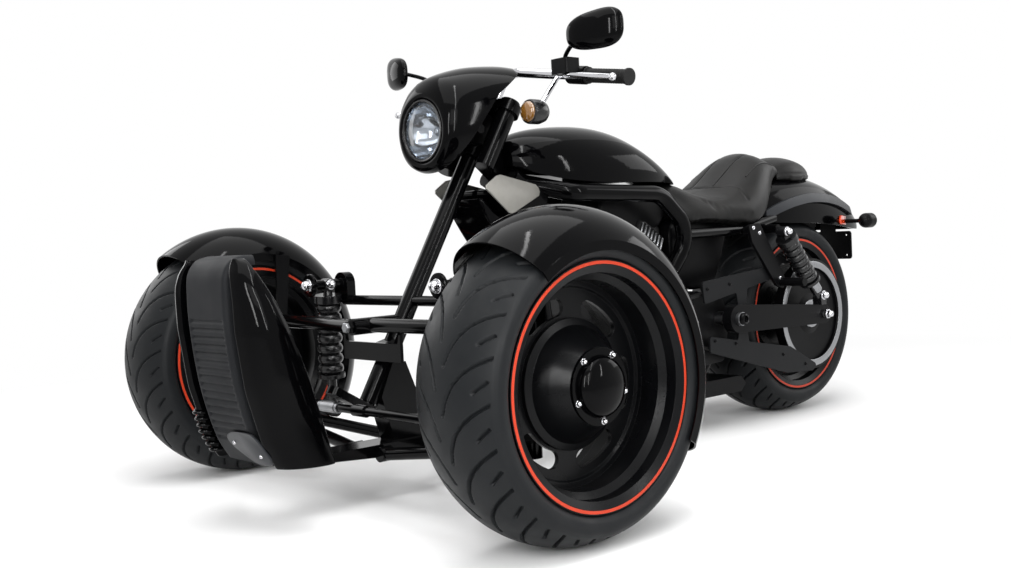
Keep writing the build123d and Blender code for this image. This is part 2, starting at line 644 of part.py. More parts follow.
# Swingarm: a tapered box arm each side of the wheel, on a pivot shaft and carrying the axle
SWING_IN = 174
SWING_OUT = 206
SWING_FRONT_HALF = 42
SWING_REAR_HALF = 30
PIVOT_RADIUS = 20
AXLE_HALF = SWING_OUT + 12
pivot_y, pivot_z = PIVOT_SHAFT
ARM_ENDS = [
    (pivot_y, pivot_z, SWING_FRONT_HALF, PIVOT_RADIUS),
    (REAR_Y, TYRE_RADIUS, SWING_REAR_HALF, AXLE_RADIUS),
]
with BuildPart() as swingarm:
    for _, side in SIDES:
        with BuildSketch(Plane((side * SWING_IN, 0, 0), x_dir=(0, 1, 0), z_dir=(1, 0, 0))):
            with BuildLine():
                Polyline(
                    (REAR_Y, TYRE_RADIUS + SWING_REAR_HALF),
                    (pivot_y, pivot_z + SWING_FRONT_HALF),
                    (pivot_y, pivot_z - SWING_FRONT_HALF),
                    (REAR_Y, TYRE_RADIUS - SWING_REAR_HALF),
                    close=True,
                )
            make_face()
            # Row: centre Y, centre Z, radius of an arm's rounded end, radius of the shaft in it
            for y, z, end_radius, shaft in ARM_ENDS:
                with Locations((y, z)):
                    Circle(end_radius)
            for y, z, end_radius, shaft in ARM_ENDS:
                with Locations((y, z)):
                    Circle(shaft + SEAT_GAP, mode=Mode.SUBTRACT)
        extrude(amount=side * (SWING_OUT - SWING_IN))
save(swingarm.part, "swingarm")
with BuildPart() as axles:
    for y, z, end_radius, shaft in ARM_ENDS:
        with BuildSketch(Plane((-AXLE_HALF, y, z), x_dir=(0, 1, 0), z_dir=(1, 0, 0))):
            Circle(shaft)
        extrude(amount=2 * AXLE_HALF)
save(axles.part, "axles")

# Drive belt: flat loop round the rear pulley and the engine pulley, inside a frame-fixed guard
ENGINE_PULLEY = (from_front(985), 350)
ENGINE_PULLEY_RADIUS = 58
BELT_THICK = 7
BELT_GAP = 0.4


def belt_outline(grow):
    """Tangent loop round both pulleys in the Y-Z plane, grown outward."""
    front = (ENGINE_PULLEY[0], ENGINE_PULLEY[1])
    rear = (REAR_Y, TYRE_RADIUS)
    with BuildSketch() as loop:
        with Locations(front):
            Circle(ENGINE_PULLEY_RADIUS + BELT_GAP + grow)
        with Locations(rear):
            Circle(PULLEY_RADIUS + BELT_GAP + grow)
        make_hull()
    return loop.sketch


outer_loop, inner_loop = belt_outline(BELT_THICK), belt_outline(0)
with BuildPart() as drive_belt:
    with BuildSketch(Plane.YZ.offset(PULLEY_X - BELT_WIDTH / 2)):
        add(outer_loop)
        add(inner_loop, mode=Mode.SUBTRACT)
    extrude(amount=BELT_WIDTH)
save(drive_belt.part, "drive_belt")

# Belt guards: a rounded cover over the top run and a bar below the bottom run
GUARD_IN = PULLEY_X + BELT_WIDTH / 2 + 2 + RUN_GAP
GUARD_OUT = SWING_IN - SEAT_GAP
GUARD_CORNER = 8
# Outline points of each guard behind the front axle and height; a tab laps the swingarm's inner face
GUARDS = [
    [(1052, 462), (1400, 492), (1440, 470), (1400, 452), (1266, 430), (1258, 370), (1220, 370), (1212, 421), (1060, 396)],
    [(1078, 300), (1212, 277), (1220, 314), (1258, 314), (1266, 268), (1480, 232), (1625, 160), (1600, 142), (1460, 150),
     (1078, 252)],
]
with BuildPart() as belt_guards:
    for outline in GUARDS:
        with BuildSketch(Plane.YZ.offset(GUARD_IN)):
            with BuildLine():
                Polyline(*[(from_front(y), z) for y, z in outline], close=True)
            make_face()
            fillet(vertices(Select.LAST), GUARD_CORNER)
        extrude(amount=GUARD_OUT - GUARD_IN)
save(belt_guards.part, "belt_guards")

# Engine: crankcase between the cradle tubes, two finned cylinders in a vee, covers on both sides
CASE_HALF = 118
CRANK = (from_front(800), 380)
VEE_HALF_ANGLE = 30
FIN_COUNT = 7
FIN_PITCH = 15
# Row: distance behind the front axle, height
CASE_OUTLINE = [(590, 230), (620, 215), (960, 215), (1090, 260), (1100, 400), (1010, 470), (640, 470), (580, 400)]
with BuildPart() as crankcase:
    with BuildSketch(Plane.YZ):
        with BuildLine():
            Polyline(*[(from_front(y), z) for y, z in CASE_OUTLINE], close=True)
        make_face()
        fillet(vertices(), 30)
    extrude(amount=CASE_HALF, both=True)
    # Row: side, centre behind the front axle, height, radius, thickness of a round cover
    for side, y, z, radius, thick in [(1, 760, 350, 112, 22), (-1, 760, 350, 118, 26), (-1, 960, 350, 80, 20)]:
        with BuildSketch(Plane((side * CASE_HALF, from_front(y), z), x_dir=(0, 1, 0), z_dir=(side, 0, 0))):
            Circle(radius)
        extrude(amount=thick, taper=12)
save(crankcase.part, "crankcase")
with BuildPart() as frame_rails:
    add(rail)
    mirror(about=Plane.YZ)
    add(crankcase.part, mode=Mode.SUBTRACT)
save(frame_rails.part, "frame_rails")

cylinders = []
for lean in (-1, 1):
    tilt = radians(lean * VEE_HALF_ANGLE)
    bank = Plane((0, CRANK[0], CRANK[1]), x_dir=(1, 0, 0), z_dir=(0, sin(tilt), cos(tilt)))
    with BuildPart() as cylinder:
        with BuildSketch(bank.offset(96)):
            RectangleRounded(150, 128, 30)
        extrude(amount=122)
        for fin in range(FIN_COUNT):
            with BuildSketch(bank.offset(104 + fin * FIN_PITCH)):
                RectangleRounded(190, 152, 36)
            extrude(amount=6)
        with BuildSketch(bank.offset(218)):
            RectangleRounded(196, 150, 34)
        extrude(amount=62, taper=6)
        with BuildSketch(bank.offset(280)):
            RectangleRounded(170, 120, 30)
        extrude(amount=26, taper=20)
        add(crankcase.part, mode=Mode.SUBTRACT)
        with BuildSketch(Plane.XZ.offset(-CRANK[0])):
            Rectangle(800, 2400)
        extrude(amount=lean * 400, mode=Mode.SUBTRACT)
    cylinders.append(cylinder.part)

save(Compound(cylinders), "cylinders")

# Pivot plates: castings behind the engine that hold the swingarm shaft
PLATE_IN = 100
PLATE_OUT = 128
PLATE_OUTLINE = [(1060, 205), (1200, 215), (1228, 330), (1205, 400), (1060, 440)]
with BuildPart() as pivot_plates:
    with BuildSketch(Plane.YZ.offset(PLATE_IN)):
        with BuildLine():
            Polyline(*[(from_front(y), z) for y, z in PLATE_OUTLINE], close=True)
        make_face()
        fillet(vertices(), 20)
        with Locations(PIVOT_SHAFT):
            Circle(PIVOT_RADIUS + SEAT_GAP, mode=Mode.SUBTRACT)
    extrude(amount=PLATE_OUT - PLATE_IN)
    add(crankcase.part, mode=Mode.SUBTRACT)
    add(frame_cradle.part, mode=Mode.SUBTRACT)
    mirror(about=Plane.YZ)
save(pivot_plates.part, "pivot_plates")


def body_loft(sections, shape):
    """Skin over cross sections; each row starts with its distance behind the front axle."""
    with BuildPart() as body:
        for y, *sizes in sections:
            with BuildSketch(Plane((0, from_front(y), 0), x_dir=(1, 0, 0), z_dir=(0, 1, 0))):
                with BuildLine():
                    shape(*sizes)
                make_face()
        loft()
    return body.part


def domed_outline(half, low, high, flare):
    """Flat-bottomed arch seen along Y. Local y points down, so heights are negative."""
    rise = high - low
    knee = (half * flare, -(low + 0.72 * rise))
    Line((half, -low), (-half, -low))
    ThreePointArc((half, -low), (half * 0.985, -(low + 0.4 * rise)), knee)
    ThreePointArc(knee, (0, -high), (-knee[0], knee[1]))
    ThreePointArc((-knee[0], knee[1]), (-half * 0.985, -(low + 0.4 * rise)), (-half, -low))


# Tank cover. Row: distance behind the front axle, half width, lower edge, top, shoulder share
TANK_ROWS = [
    (428, 62, 806, 866, 0.8),
    (520, 118, 774, 905, 0.8),
    (650, 148, 758, 919, 0.8),
    (830, 150, 756, 899, 0.78),
    (985, 112, 756, 816, 0.78),
    (1064, 70, 752, 770, 0.8),
]
tank = body_loft(TANK_ROWS, domed_outline)
with BuildPart() as tank_cover:
    add(tank)
    add(frame_neck.part, mode=Mode.SUBTRACT)
    add(frame_rails.part, mode=Mode.SUBTRACT)
save(tank_cover.part, "tank_cover")

# Rear fender: arched channel over the wheel, open below and at the front
FENDER_R_HALF = 140
FENDER_R_THICK = 5
TAIL_Y = REAR_Y + TAIL_REACH
# Row: distance behind the front axle, half width, lower edge, top, shoulder share
REAR_FENDER_ROWS = [
    (1440, 120, 630, 742, 0.86),
    (1560, 138, 622, 776, 0.86),
    (1720, FENDER_R_HALF, 616, 782, 0.86),
    (1860, 128, 604, 752, 0.86),
    (DRAWN_WHEELBASE + TAIL_REACH, 88, 590, 652, 0.86),
]
fender_outer = body_loft(REAR_FENDER_ROWS, domed_outline)
fender_inner = body_loft(
    [
        (y - (FENDER_R_THICK if y > 1900 else 0), half - FENDER_R_THICK, low - 60, high - FENDER_R_THICK, flare)
        for y, half, low, high, flare in REAR_FENDER_ROWS
    ],
    domed_outline,
)
with BuildPart() as rear_fender:
    add(fender_outer)
    add(fender_inner, mode=Mode.SUBTRACT)
save(rear_fender.part, "rear_fender")

# Fender struts: flat bars that follow the fender's sides and carry it
STRUT_THICK = 10
STRUT_UPPER = [(1440, 664), (1690, 716), (1950, 668)]  # behind the front axle, height
STRUT_LOWER = [(1950, 640), (1690, 686), (1440, 634)]


def fender_skin(proud):
    """The rear fender's outside moved out by a thickness, with the same lower edge."""
    return body_loft(
        [(y, half + proud, low, high + proud, flare) for y, half, low, high, flare in REAR_FENDER_ROWS], domed_outline
    )


strut_skin = fender_skin(STRUT_THICK)
upper_arc = [(from_front(y), z) for y, z in STRUT_UPPER]
lower_arc = [(from_front(y), z) for y, z in STRUT_LOWER]
with BuildPart() as fender_struts:
    with BuildSketch(Plane.YZ):
        with BuildLine():
            ThreePointArc(*upper_arc)
            Line(upper_arc[-1], lower_arc[0])
            ThreePointArc(*lower_arc)
            Line(lower_arc[-1], upper_arc[0])
        make_face()
    extrude(amount=2 * FENDER_R_HALF, both=True)
    add(strut_skin, mode=Mode.INTERSECT)
    add(fender_outer, mode=Mode.SUBTRACT)
save(fender_struts.part, "fender_struts")

# Rear subframe: a tube each side under the seat, with a stub for the upper shock eye
SUBFRAME_RADIUS = 15
SUBFRAME_RUN = [(140, 1023, 604), (134, 1300, 608), (126, 1480, 640)]  # half width, behind the front axle, height
REAR_SHOCK_X = 204
REAR_SHOCK_TOP = (REAR_SHOCK_X, from_front(1418), 596)
SHOCK_STUB_RADIUS = 13
subframe_tube = bent_tube([(x, from_front(y), z) for x, y, z in SUBFRAME_RUN], [200], SUBFRAME_RADIUS)
with BuildPart() as rear_subframe:
    add(subframe_tube)
    with BuildSketch(Plane((SUBFRAME_RUN[1][0] - 4, REAR_SHOCK_TOP[1], REAR_SHOCK_TOP[2] + 10), (0, 1, 0), (1, 0, 0))):
        Circle(SHOCK_STUB_RADIUS)
    extrude(amount=REAR_SHOCK_X - SHOCK_BODY - SEAT_GAP - SUBFRAME_RUN[1][0] + 4)
    mirror(about=Plane.YZ)
    add(frame_rails.part, mode=Mode.SUBTRACT)
    add(fender_outer, mode=Mode.SUBTRACT)
    add(fender_struts.part, mode=Mode.SUBTRACT)
save(rear_subframe.part, "rear_subframe")

# Rear shocks, from the subframe's stubs down to the top of the swingarm
REAR_FOOT_Y = from_front(1606)
arm_share = (REAR_FOOT_Y - pivot_y) / (REAR_Y - pivot_y)
arm_top = pivot_z + SWING_FRONT_HALF + arm_share * (TYRE_RADIUS + SWING_REAR_HALF - pivot_z - SWING_FRONT_HALF)
rear_shock = shock_part(REAR_SHOCK_TOP, (REAR_SHOCK_X, REAR_FOOT_Y, arm_top + SHOCK_BODY + 2), 31, SHOCK_BODY, 7)
with BuildPart() as rear_shocks:
    add(rear_shock)
    with BuildSketch(Plane((REAR_SHOCK_X, REAR_FOOT_Y, arm_top + SEAT_GAP), (1, 0, 0), (0, 0, 1))):
        Rectangle(2 * SHOCK_BODY, 28)
    extrude(amount=SHOCK_BODY)
    add(swingarm.part, mode=Mode.SUBTRACT)
    mirror(about=Plane.YZ)
save(rear_shocks.part, "rear_shocks")

# Seat and pillion pad. Row: distance behind the front axle, half width, lower edge, top, shoulder share
SEAT_ROWS = [
    (985, 72, 700, 752, 0.8),
    (1110, 140, 640, 738, 0.84),
    (1290, 158, 626, 748, 0.84),
    (1400, 150, 640, 826, 0.8),
    (1470, 128, 700, 852, 0.8),
    (1560, 96, 782, 822, 0.8),
]
PILLION_ROWS = [(1570, 84, 756, 824, 0.84), (1690, 100, 752, 836, 0.84), (1780, 66, 750, 802, 0.84)]
seat_block = body_loft(SEAT_ROWS, domed_outline)
with BuildPart() as seat:
    add(seat_block)
    for neighbour in (tank_cover, frame_rails, rear_subframe):
        add(neighbour.part, mode=Mode.SUBTRACT)
    add(fender_outer, mode=Mode.SUBTRACT)
    add(fender_struts.part, mode=Mode.SUBTRACT)
save(seat.part, "seat")
pad_block = body_loft(PILLION_ROWS, domed_outline)
with BuildPart() as pillion_pad:
    add(pad_block)
    add(fender_outer, mode=Mode.SUBTRACT)
    add(seat.part, mode=Mode.SUBTRACT)
save(pillion_pad.part, "pillion_pad")

# Tail lamp: a lens on each side of the fender's tail, below the strut's end
lamp_skin = fender_skin(7)
with BuildPart() as tail_lamp:
    with BuildSketch(Plane.YZ):
        with Locations((from_front(1948), 617)):
            RectangleRounded(44, 32, 10)
    extrude(amount=2 * FENDER_R_HALF, both=True)
    add(lamp_skin, mode=Mode.INTERSECT)
    add(fender_outer, mode=Mode.SUBTRACT)
    add(fender_struts.part, mode=Mode.SUBTRACT)
save(tail_lamp.part, "tail_lamp")

# Plate bracket: drilled blank plate on a tongue from the fender's ceiling
PLATE_Y = from_front(1985)
PLATE_HALF = 92
PLATE_LOW = 486
PLATE_HIGH = 584
PLATE_THICK = 5
PLATE_HOLES = (146, 70)
PLATE_HOLE_RADIUS = 3.5
plate_plane = Plane((0, PLATE_Y, (PLATE_LOW + PLATE_HIGH) / 2), x_dir=(1, 0, 0), z_dir=(0, -1, 0))
with BuildPart() as plate_bracket:
    with BuildSketch(plate_plane):
        with Locations((0, 120)):
            Rectangle(60, 160)
    extrude(amount=-PLATE_THICK)
    add(fender_inner, mode=Mode.INTERSECT)
    with BuildSketch(plate_plane):
        RectangleRounded(2 * PLATE_HALF, PLATE_HIGH - PLATE_LOW, 10)
        with GridLocations(*PLATE_HOLES, 2, 2):
            Circle(PLATE_HOLE_RADIUS, mode=Mode.SUBTRACT)
    extrude(amount=-PLATE_THICK)
save(plate_bracket.part, "plate_bracket")

# Signals: bullets on stalks
SIGNAL_RADIUS = 25
SIGNAL_LENGTH = 34
STALK_RADIUS = 7
REAR_SIGNAL = (200, from_front(1905), 618)
FRONT_SIGNAL = (230, from_front(375), 928)


def bullet_signal(x, y, z, face):
    """Round lamp body along Y, domed at the back; face is the sign of Y that its lens looks to."""
    with BuildPart() as bullet:
        with BuildSketch(Plane((x, y, z), x_dir=(1, 0, 0), z_dir=(0, 0, 1))):
            with BuildLine():
                Polyline(
                    (0, 0),
                    (0, face * SIGNAL_LENGTH),
                    (SIGNAL_RADIUS - 3, face * SIGNAL_LENGTH),
                    (SIGNAL_RADIUS, face * (SIGNAL_LENGTH - 5)),
                    (SIGNAL_RADIUS, 0),
                )
                RadiusArc((SIGNAL_RADIUS, 0), (4, -face * SIGNAL_RADIUS), face * (SIGNAL_RADIUS + 2))
                Polyline((4, -face * SIGNAL_RADIUS), (0, -face * SIGNAL_RADIUS), (0, 0))
            make_face()
        revolve(axis=Axis((x, y, z), (0, 1, 0)))
    return bullet.part


def signal_pair(place, face, inner, cutter):
    """A bullet each side with a stalk that butts on the piece that carries it."""
    x, y, z = place
    body = bullet_signal(x, y, z, face)
    with BuildPart() as pair:
        add(body)
        with BuildSketch(Plane((inner, y, z), (0, 1, 0), (1, 0, 0))):
            Circle(STALK_RADIUS)
        extrude(amount=x - inner)
        mirror(about=Plane.YZ)
        add(cutter, mode=Mode.SUBTRACT)
    return pair.part


save(signal_pair(REAR_SIGNAL, 1, 104, fender_outer), "rear_signals")
save(signal_pair(FRONT_SIGNAL, -1, 90, steering_stem.part), "front_signals")

# Exhaust: a header from each cylinder's right side to its own muffler
HEADER_RADIUS = 20
MUFFLER_X = -268
MUFFLER_RADIUS = 42
MUFFLER_TIP = 30
# Row: header points (X, behind the front axle, height), muffler end
EXHAUSTS = [
    ([(-60, 690, 600), (-168, 680, 600), (-176, 700, 250), (MUFFLER_X, 1000, 225), (MUFFLER_X, 1120, 225)], 1740),
    ([(-60, 905, 600), (-186, 905, 596), (-188, 930, 345), (MUFFLER_X, 1090, 335), (MUFFLER_X, 1150, 335)], 1790),
]
headers = [bent_tube([(x, from_front(y), z) for x, y, z in run], [55, 70, 60], HEADER_RADIUS) for run, _ in EXHAUSTS]
with BuildPart() as exhaust:
    for header, (run, end) in zip(headers, EXHAUSTS):
        add(header)
        start, height = run[-1][1] - 30, run[-1][2]
        with BuildSketch(Plane((MUFFLER_X, from_front(start), height), x_dir=(0, 1, 0), z_dir=(0, 0, 1))):
            with BuildLine():
                Polyline(
                    (0, 0),
                    (0, HEADER_RADIUS),
                    (70, MUFFLER_RADIUS),
                    (end - start - 40, MUFFLER_RADIUS),
                    (end - start, MUFFLER_TIP),
                    (end - start, MUFFLER_TIP - 4),
                    (end - start - 90, MUFFLER_TIP - 4),
                    (end - start - 90, 0),
                    close=True,
                )
            make_face()
        revolve(axis=Axis((MUFFLER_X, from_front(start), height), (0, 1, 0)))
    for cylinder_part in cylinders:
        add(cylinder_part, mode=Mode.SUBTRACT)
save(exhaust.part, "exhaust")

# Low box below the engine, hung under the cradle tubes
LOW_BOX = [(1040, 156.7), (1300, 156.7), (1326, 132), (1300, 108), (1080, 108), (1040, 130)]
with BuildPart() as low_box:
    with BuildSketch(Plane.YZ):
        with BuildLine():
            Polyline(*[(from_front(y), z) for y, z in LOW_BOX], close=True)
        make_face()
    extrude(amount=112, both=True)
    fillet(edges().filter_by(Axis.X), 8)
    add(frame_cradle.part, mode=Mode.SUBTRACT)
save(low_box.part, "low_box")

# Foot pegs: rider's pegs on the cradle, passenger's on plates below the subframe
RIDER_PEG = (82, from_front(512), 330)
PEG_RADIUS = 18
PEG_END = 330
PLATE_X = 176
PEG_PLATE = [(1268, 622), (1326, 626), (1452, 444), (1436, 418), (1402, 430), (1284, 570)]  # behind the front axle, height
with BuildPart() as foot_pegs:
    # Row: start X, radius, end X of a turned piece on the rider's peg line
    for start, radius, end in [(RIDER_PEG[0], 12, PEG_END), (RIDER_PEG[0] + 140, PEG_RADIUS, PEG_END), (RIDER_PEG[0] + 20, 20, RIDER_PEG[0] + 44)]:
        with BuildSketch(Plane((start, RIDER_PEG[1], RIDER_PEG[2]), (0, 1, 0), (1, 0, 0))):
            Circle(radius)
        extrude(amount=end - start)
    mirror(about=Plane.YZ)
    add(frame_cradle.part, mode=Mode.SUBTRACT)
save(foot_pegs.part, "foot_pegs")
with BuildPart() as peg_plates:
    with BuildSketch(Plane.YZ.offset(PLATE_X)):
        with BuildLine():
            Polyline(*[(from_front(y), z) for y, z in PEG_PLATE], close=True)
        make_face()
        fillet(vertices(), 10)
    extrude(amount=10)
    # Row: behind the front axle, height, radius, start X, end X of a spacer or peg
    for y, z, radius, start, end in [(1300, 606, 12, 136, PLATE_X + 1), (1426, 440, 13, PLATE_X + 9, PLATE_X + 96)]:
        with BuildSketch(Plane((start, from_front(y), z), (0, 1, 0), (1, 0, 0))):
            Circle(radius)
        extrude(amount=end - start)
    mirror(about=Plane.YZ)
    add(rear_subframe.part, mode=Mode.SUBTRACT)
save(peg_plates.part, "peg_plates")

# Handlebar: bent bar on two risers. Row: half width, distance behind the front axle, height
BAR_RADIUS = 12.7
BAR_RUN = [(90, 440, 1045), (200, 478, 1028), (430, 480, 992)]
BAR_BENDS = [50, 40, 40, 50]
RISER_X = 38
RISER_RADIUS = 14
left_run = [Vector(x, from_front(y), z) for x, y, z in BAR_RUN]
bar_points = [Vector(-point.X, point.Y, point.Z) for point in reversed(left_run)] + left_run
bar = bent_tube(bar_points, BAR_BENDS, BAR_RADIUS)
bar_bore = bent_tube(bar_points, BAR_BENDS, BAR_RADIUS + SEAT_GAP)
bar_notch = bent_tube(bar_points, BAR_BENDS, BAR_RADIUS + 7)
riser_foot = CLAMP_TOP + CLAMP_THICK + SEAT_GAP
riser_head = HEAD_PLANE.to_local_coords(left_run[0])
with BuildPart() as handlebar:
    add(bar)
    with BuildSketch(HEAD_PLANE.offset(riser_foot)):
        with Locations((-RISER_X, riser_head.Y), (RISER_X, riser_head.Y)):
            Circle(RISER_RADIUS)
    extrude(amount=riser_head.Z - riser_foot)
save(handlebar.part, "handlebar")

# Grips: ribbed sleeves with a closed end
GRIP_RADIUS = 17
GRIP_LENGTH = 132
GRIP_RING = 4
GRIP_END = 6
run_line = (left_run[2] - left_run[1]).normalized()
grip_plane = Plane(left_run[2] - run_line * GRIP_LENGTH, x_dir=(0, 1, 0), z_dir=run_line)
with BuildPart() as grips:
    # Row: start along the grip, radius, length
    for start, radius, length in [
        (0, GRIP_RADIUS, GRIP_LENGTH + GRIP_END),
        (0, GRIP_RADIUS + GRIP_RING, GRIP_RING),
        (GRIP_LENGTH, GRIP_RADIUS + GRIP_RING, GRIP_END),
    ]:
        with BuildSketch(grip_plane.offset(start)):
            Circle(radius)
        extrude(amount=length)
    with BuildSketch(grip_plane.offset(-GRIP_END)):
        Circle(BAR_RADIUS + SEAT_GAP)
    extrude(amount=GRIP_LENGTH + GRIP_END + SEAT_GAP, mode=Mode.SUBTRACT)
    mirror(about=Plane.YZ)
save(grips.part, "grips")

# Bar controls: clamp, fluid box and lever on each side
CONTROL_LENGTH = 54
CONTROL_RADIUS = 23
FLUID_BOX = (262, from_front(438), 1018)
FLUID_SIZE = (60, 48, 38)
LEVER_RUN = [(255, 440, 1016), (300, 424, 1010), (426, 430, 990)]
LEVER_RADIUS = 6
lever = bent_tube([(x, from_front(y), z) for x, y, z in LEVER_RUN], [40], LEVER_RADIUS)
with BuildPart() as bar_controls:
    with BuildSketch(grip_plane.offset(-CONTROL_LENGTH - RUN_GAP)):
        Circle(CONTROL_RADIUS)
    extrude(amount=CONTROL_LENGTH)
    with BuildSketch(Plane.XY.offset(FLUID_BOX[2])):
        with Locations(FLUID_BOX[:2]):
            RectangleRounded(FLUID_SIZE[0], FLUID_SIZE[1], 8)
    extrude(amount=FLUID_SIZE[2])
    add(lever)
    with Locations((LEVER_RUN[2][0], from_front(LEVER_RUN[2][1]), LEVER_RUN[2][2])):
        Sphere(LEVER_RADIUS + 3)
    add(bar_bore, mode=Mode.SUBTRACT)
    mirror(about=Plane.YZ)
save(bar_controls.part, "bar_controls")

# Mirrors: shallow domed shells on bent stems from the fluid boxes
MIRROR_AT = (389, from_front(418), 1113)
MIRROR_SIZE = (160, 100)
MIRROR_RIM = 10
MIRROR_DOME = 22
STEM_RUN = [(262, 440, 1050), (268, 424, 1088), (372, 408, 1110)]
mirror_stem = bent_tube([(x, from_front(y), z) for x, y, z in STEM_RUN], [24], 6)
mirror_plane = Plane(MIRROR_AT, x_dir=(1, 0, 0), z_dir=(0, -1, 0))
with BuildPart() as mirrors:
    add(mirror_stem)
    with BuildSketch(mirror_plane):
        RectangleRounded(*MIRROR_SIZE, 44)
    extrude(amount=MIRROR_RIM)
    with BuildSketch(mirror_plane.offset(MIRROR_RIM)):
        RectangleRounded(*MIRROR_SIZE, 44)
    extrude(amount=MIRROR_DOME, taper=38)
    mirror(about=Plane.YZ)
    add(bar_controls.part, mode=Mode.SUBTRACT)
save(mirrors.part, "mirrors")

# Headlamp fairing: shell round the lamp, cut away behind along a slanted line
LAMP_Z = 897
LAMP_RADIUS = 88
FAIRING_THICK = 4
# Row: distance behind the front axle, half width, lower edge, top
FAIRING_ROWS = [
    (112, 96, 801, 993),
    (200, 120, 792, 1022),
    (320, 138, 800, 1056),
    (430, 142, 840, 1070),
    (526, 136, 900, 1045),
]
FAIRING_CUT = [(165, 790), (546, 1069), (760, 1069), (760, 640), (165, 640)]


def oval_outline(half, low, high):
    """Closed oval of four arcs seen along Y. Local y points down, so heights are negative."""
    middle, rise = (low + high) / 2, (high - low) / 2
    for across in (1, -1):
        for up in (1, -1):
            bulge = (across * 0.73 * half, -(middle + 0.73 * up * rise))
            ThreePointArc((across * half, -middle), bulge, (0, -(middle + up * rise)))


fairing_skin = body_loft(FAIRING_ROWS, oval_outline)
fairing_hollow = body_loft(
    [
        (y + FAIRING_THICK, half - FAIRING_THICK, low + FAIRING_THICK, high - FAIRING_THICK)
        for y, half, low, high in FAIRING_ROWS
    ],
    oval_outline,
)
LAMP_FACE = 114  # lamp bowl's front behind the front axle
lamp_start = from_front(LAMP_FACE) - LAMP_FACE
lamp_plane = Plane((0, lamp_start, LAMP_Z), x_dir=(0, 1, 0), z_dir=(1, 0, 0))
lamp_line = Axis((0, lamp_start, LAMP_Z), (0, 1, 0))
with BuildPart() as fairing:
    add(fairing_skin)
    add(fairing_hollow, mode=Mode.SUBTRACT)
    with BuildSketch(Plane.YZ):
        with BuildLine():
            Polyline(*[(from_front(y), z) for y, z in FAIRING_CUT], close=True)
        make_face()
    extrude(amount=400, both=True, mode=Mode.SUBTRACT)
    with BuildSketch(Plane((0, from_front(FAIRING_ROWS[0][0] - 20), LAMP_Z), (1, 0, 0), (0, 1, 0))):
        Circle(LAMP_RADIUS)
    extrude(amount=60, mode=Mode.SUBTRACT)
    add(bar_notch, mode=Mode.SUBTRACT)
save(fairing.part, "fairing")

# Headlamp: open bowl in the fairing's mouth, on a cross bar from the fork stubs
bowl_radius = LAMP_RADIUS - SEAT_GAP
with BuildPart() as headlamp:
    with BuildSketch(lamp_plane):
        with BuildLine():
            Polyline((120, 82), (114, 82), (114, bowl_radius), (150, bowl_radius), (240, 70), (292, 34), (292, 0), (200, 0), (200, 18))
            ThreePointArc((200, 18), (170, 56), (120, 82))
        make_face()
    revolve(axis=lamp_line)
    with BuildSketch(Plane.XY.offset(LAMP_Z - 12)):
        with Locations((0, from_front(280))):
            Rectangle(180, 24)
        with Locations((-FORK_STUB_X, from_front(312)), (FORK_STUB_X, from_front(312))):
            Rectangle(22, 84)
    extrude(amount=24)
    add(steering_stem.part, mode=Mode.SUBTRACT)
save(headlamp.part, "headlamp")
with BuildPart() as headlamp_lens:
    with BuildSketch(lamp_plane):
        with BuildLine():
            ThreePointArc((115, 81.6), (108, 46), (106, 5))
            Polyline((106, 5), (106, 0), (109, 0), (109, 5))
            ThreePointArc((109, 5), (111, 46), (118, 79))
            Polyline((118, 79), (118, 81.6), (115, 81.6))
        make_face()
    revolve(axis=lamp_line)
save(headlamp_lens.part, "headlamp_lens")

# Radiator shroud: leaning ribbed panel, core behind it and a scooped cover each side
PANEL_FOOT = (-350, 150)  # ahead of the front axle, height
PANEL_HEAD = (-428, 584)
PANEL_HALF = 90
PANEL_THICK = 26
RIB_COUNT = 18
GROOVE_WIDTH = 9
GROOVE_DEPTH = 6
CORE_THICK = 42
lean = Vector(0, from_front(PANEL_HEAD[0]) - from_front(PANEL_FOOT[0]), PANEL_HEAD[1] - PANEL_FOOT[1])
panel_plane = Plane((0, from_front(PANEL_FOOT[0]), PANEL_FOOT[1]), x_dir=(1, 0, 0), z_dir=(0, -lean.Z, lean.Y))
rib_pitch = (lean.length - 70) / RIB_COUNT
with BuildPart() as shroud_center:
    with BuildSketch(panel_plane):
        with Locations((0, lean.length / 2)):
            RectangleRounded(2 * PANEL_HALF, lean.length, 24)
    extrude(amount=-PANEL_THICK)
    with BuildSketch(panel_plane):
        with Locations(*[(0, 26 + rib_pitch * (rib + 0.5)) for rib in range(RIB_COUNT)]):
            Rectangle(2 * PANEL_HALF - 16, GROOVE_WIDTH)
    extrude(amount=-GROOVE_DEPTH, mode=Mode.SUBTRACT)
save(shroud_center.part, "shroud_center")
with BuildPart() as radiator_core:
    with BuildSketch(panel_plane.offset(-PANEL_THICK - SEAT_GAP)):
        with Locations((0, (lean.length - 100) / 2)):
            Rectangle(2 * PANEL_HALF - 6, lean.length + 20)
    extrude(amount=-CORE_THICK)
    with BuildSketch(Plane.XY.offset(BEAM_HIGH + SEAT_GAP)):
        with Locations((0, from_front(PANEL_FOOT[0]))):
            Rectangle(600, 600)
    extrude(amount=-200, mode=Mode.SUBTRACT)
save(radiator_core.part, "radiator_core")

SIDE_IN = PANEL_HALF + SEAT_GAP
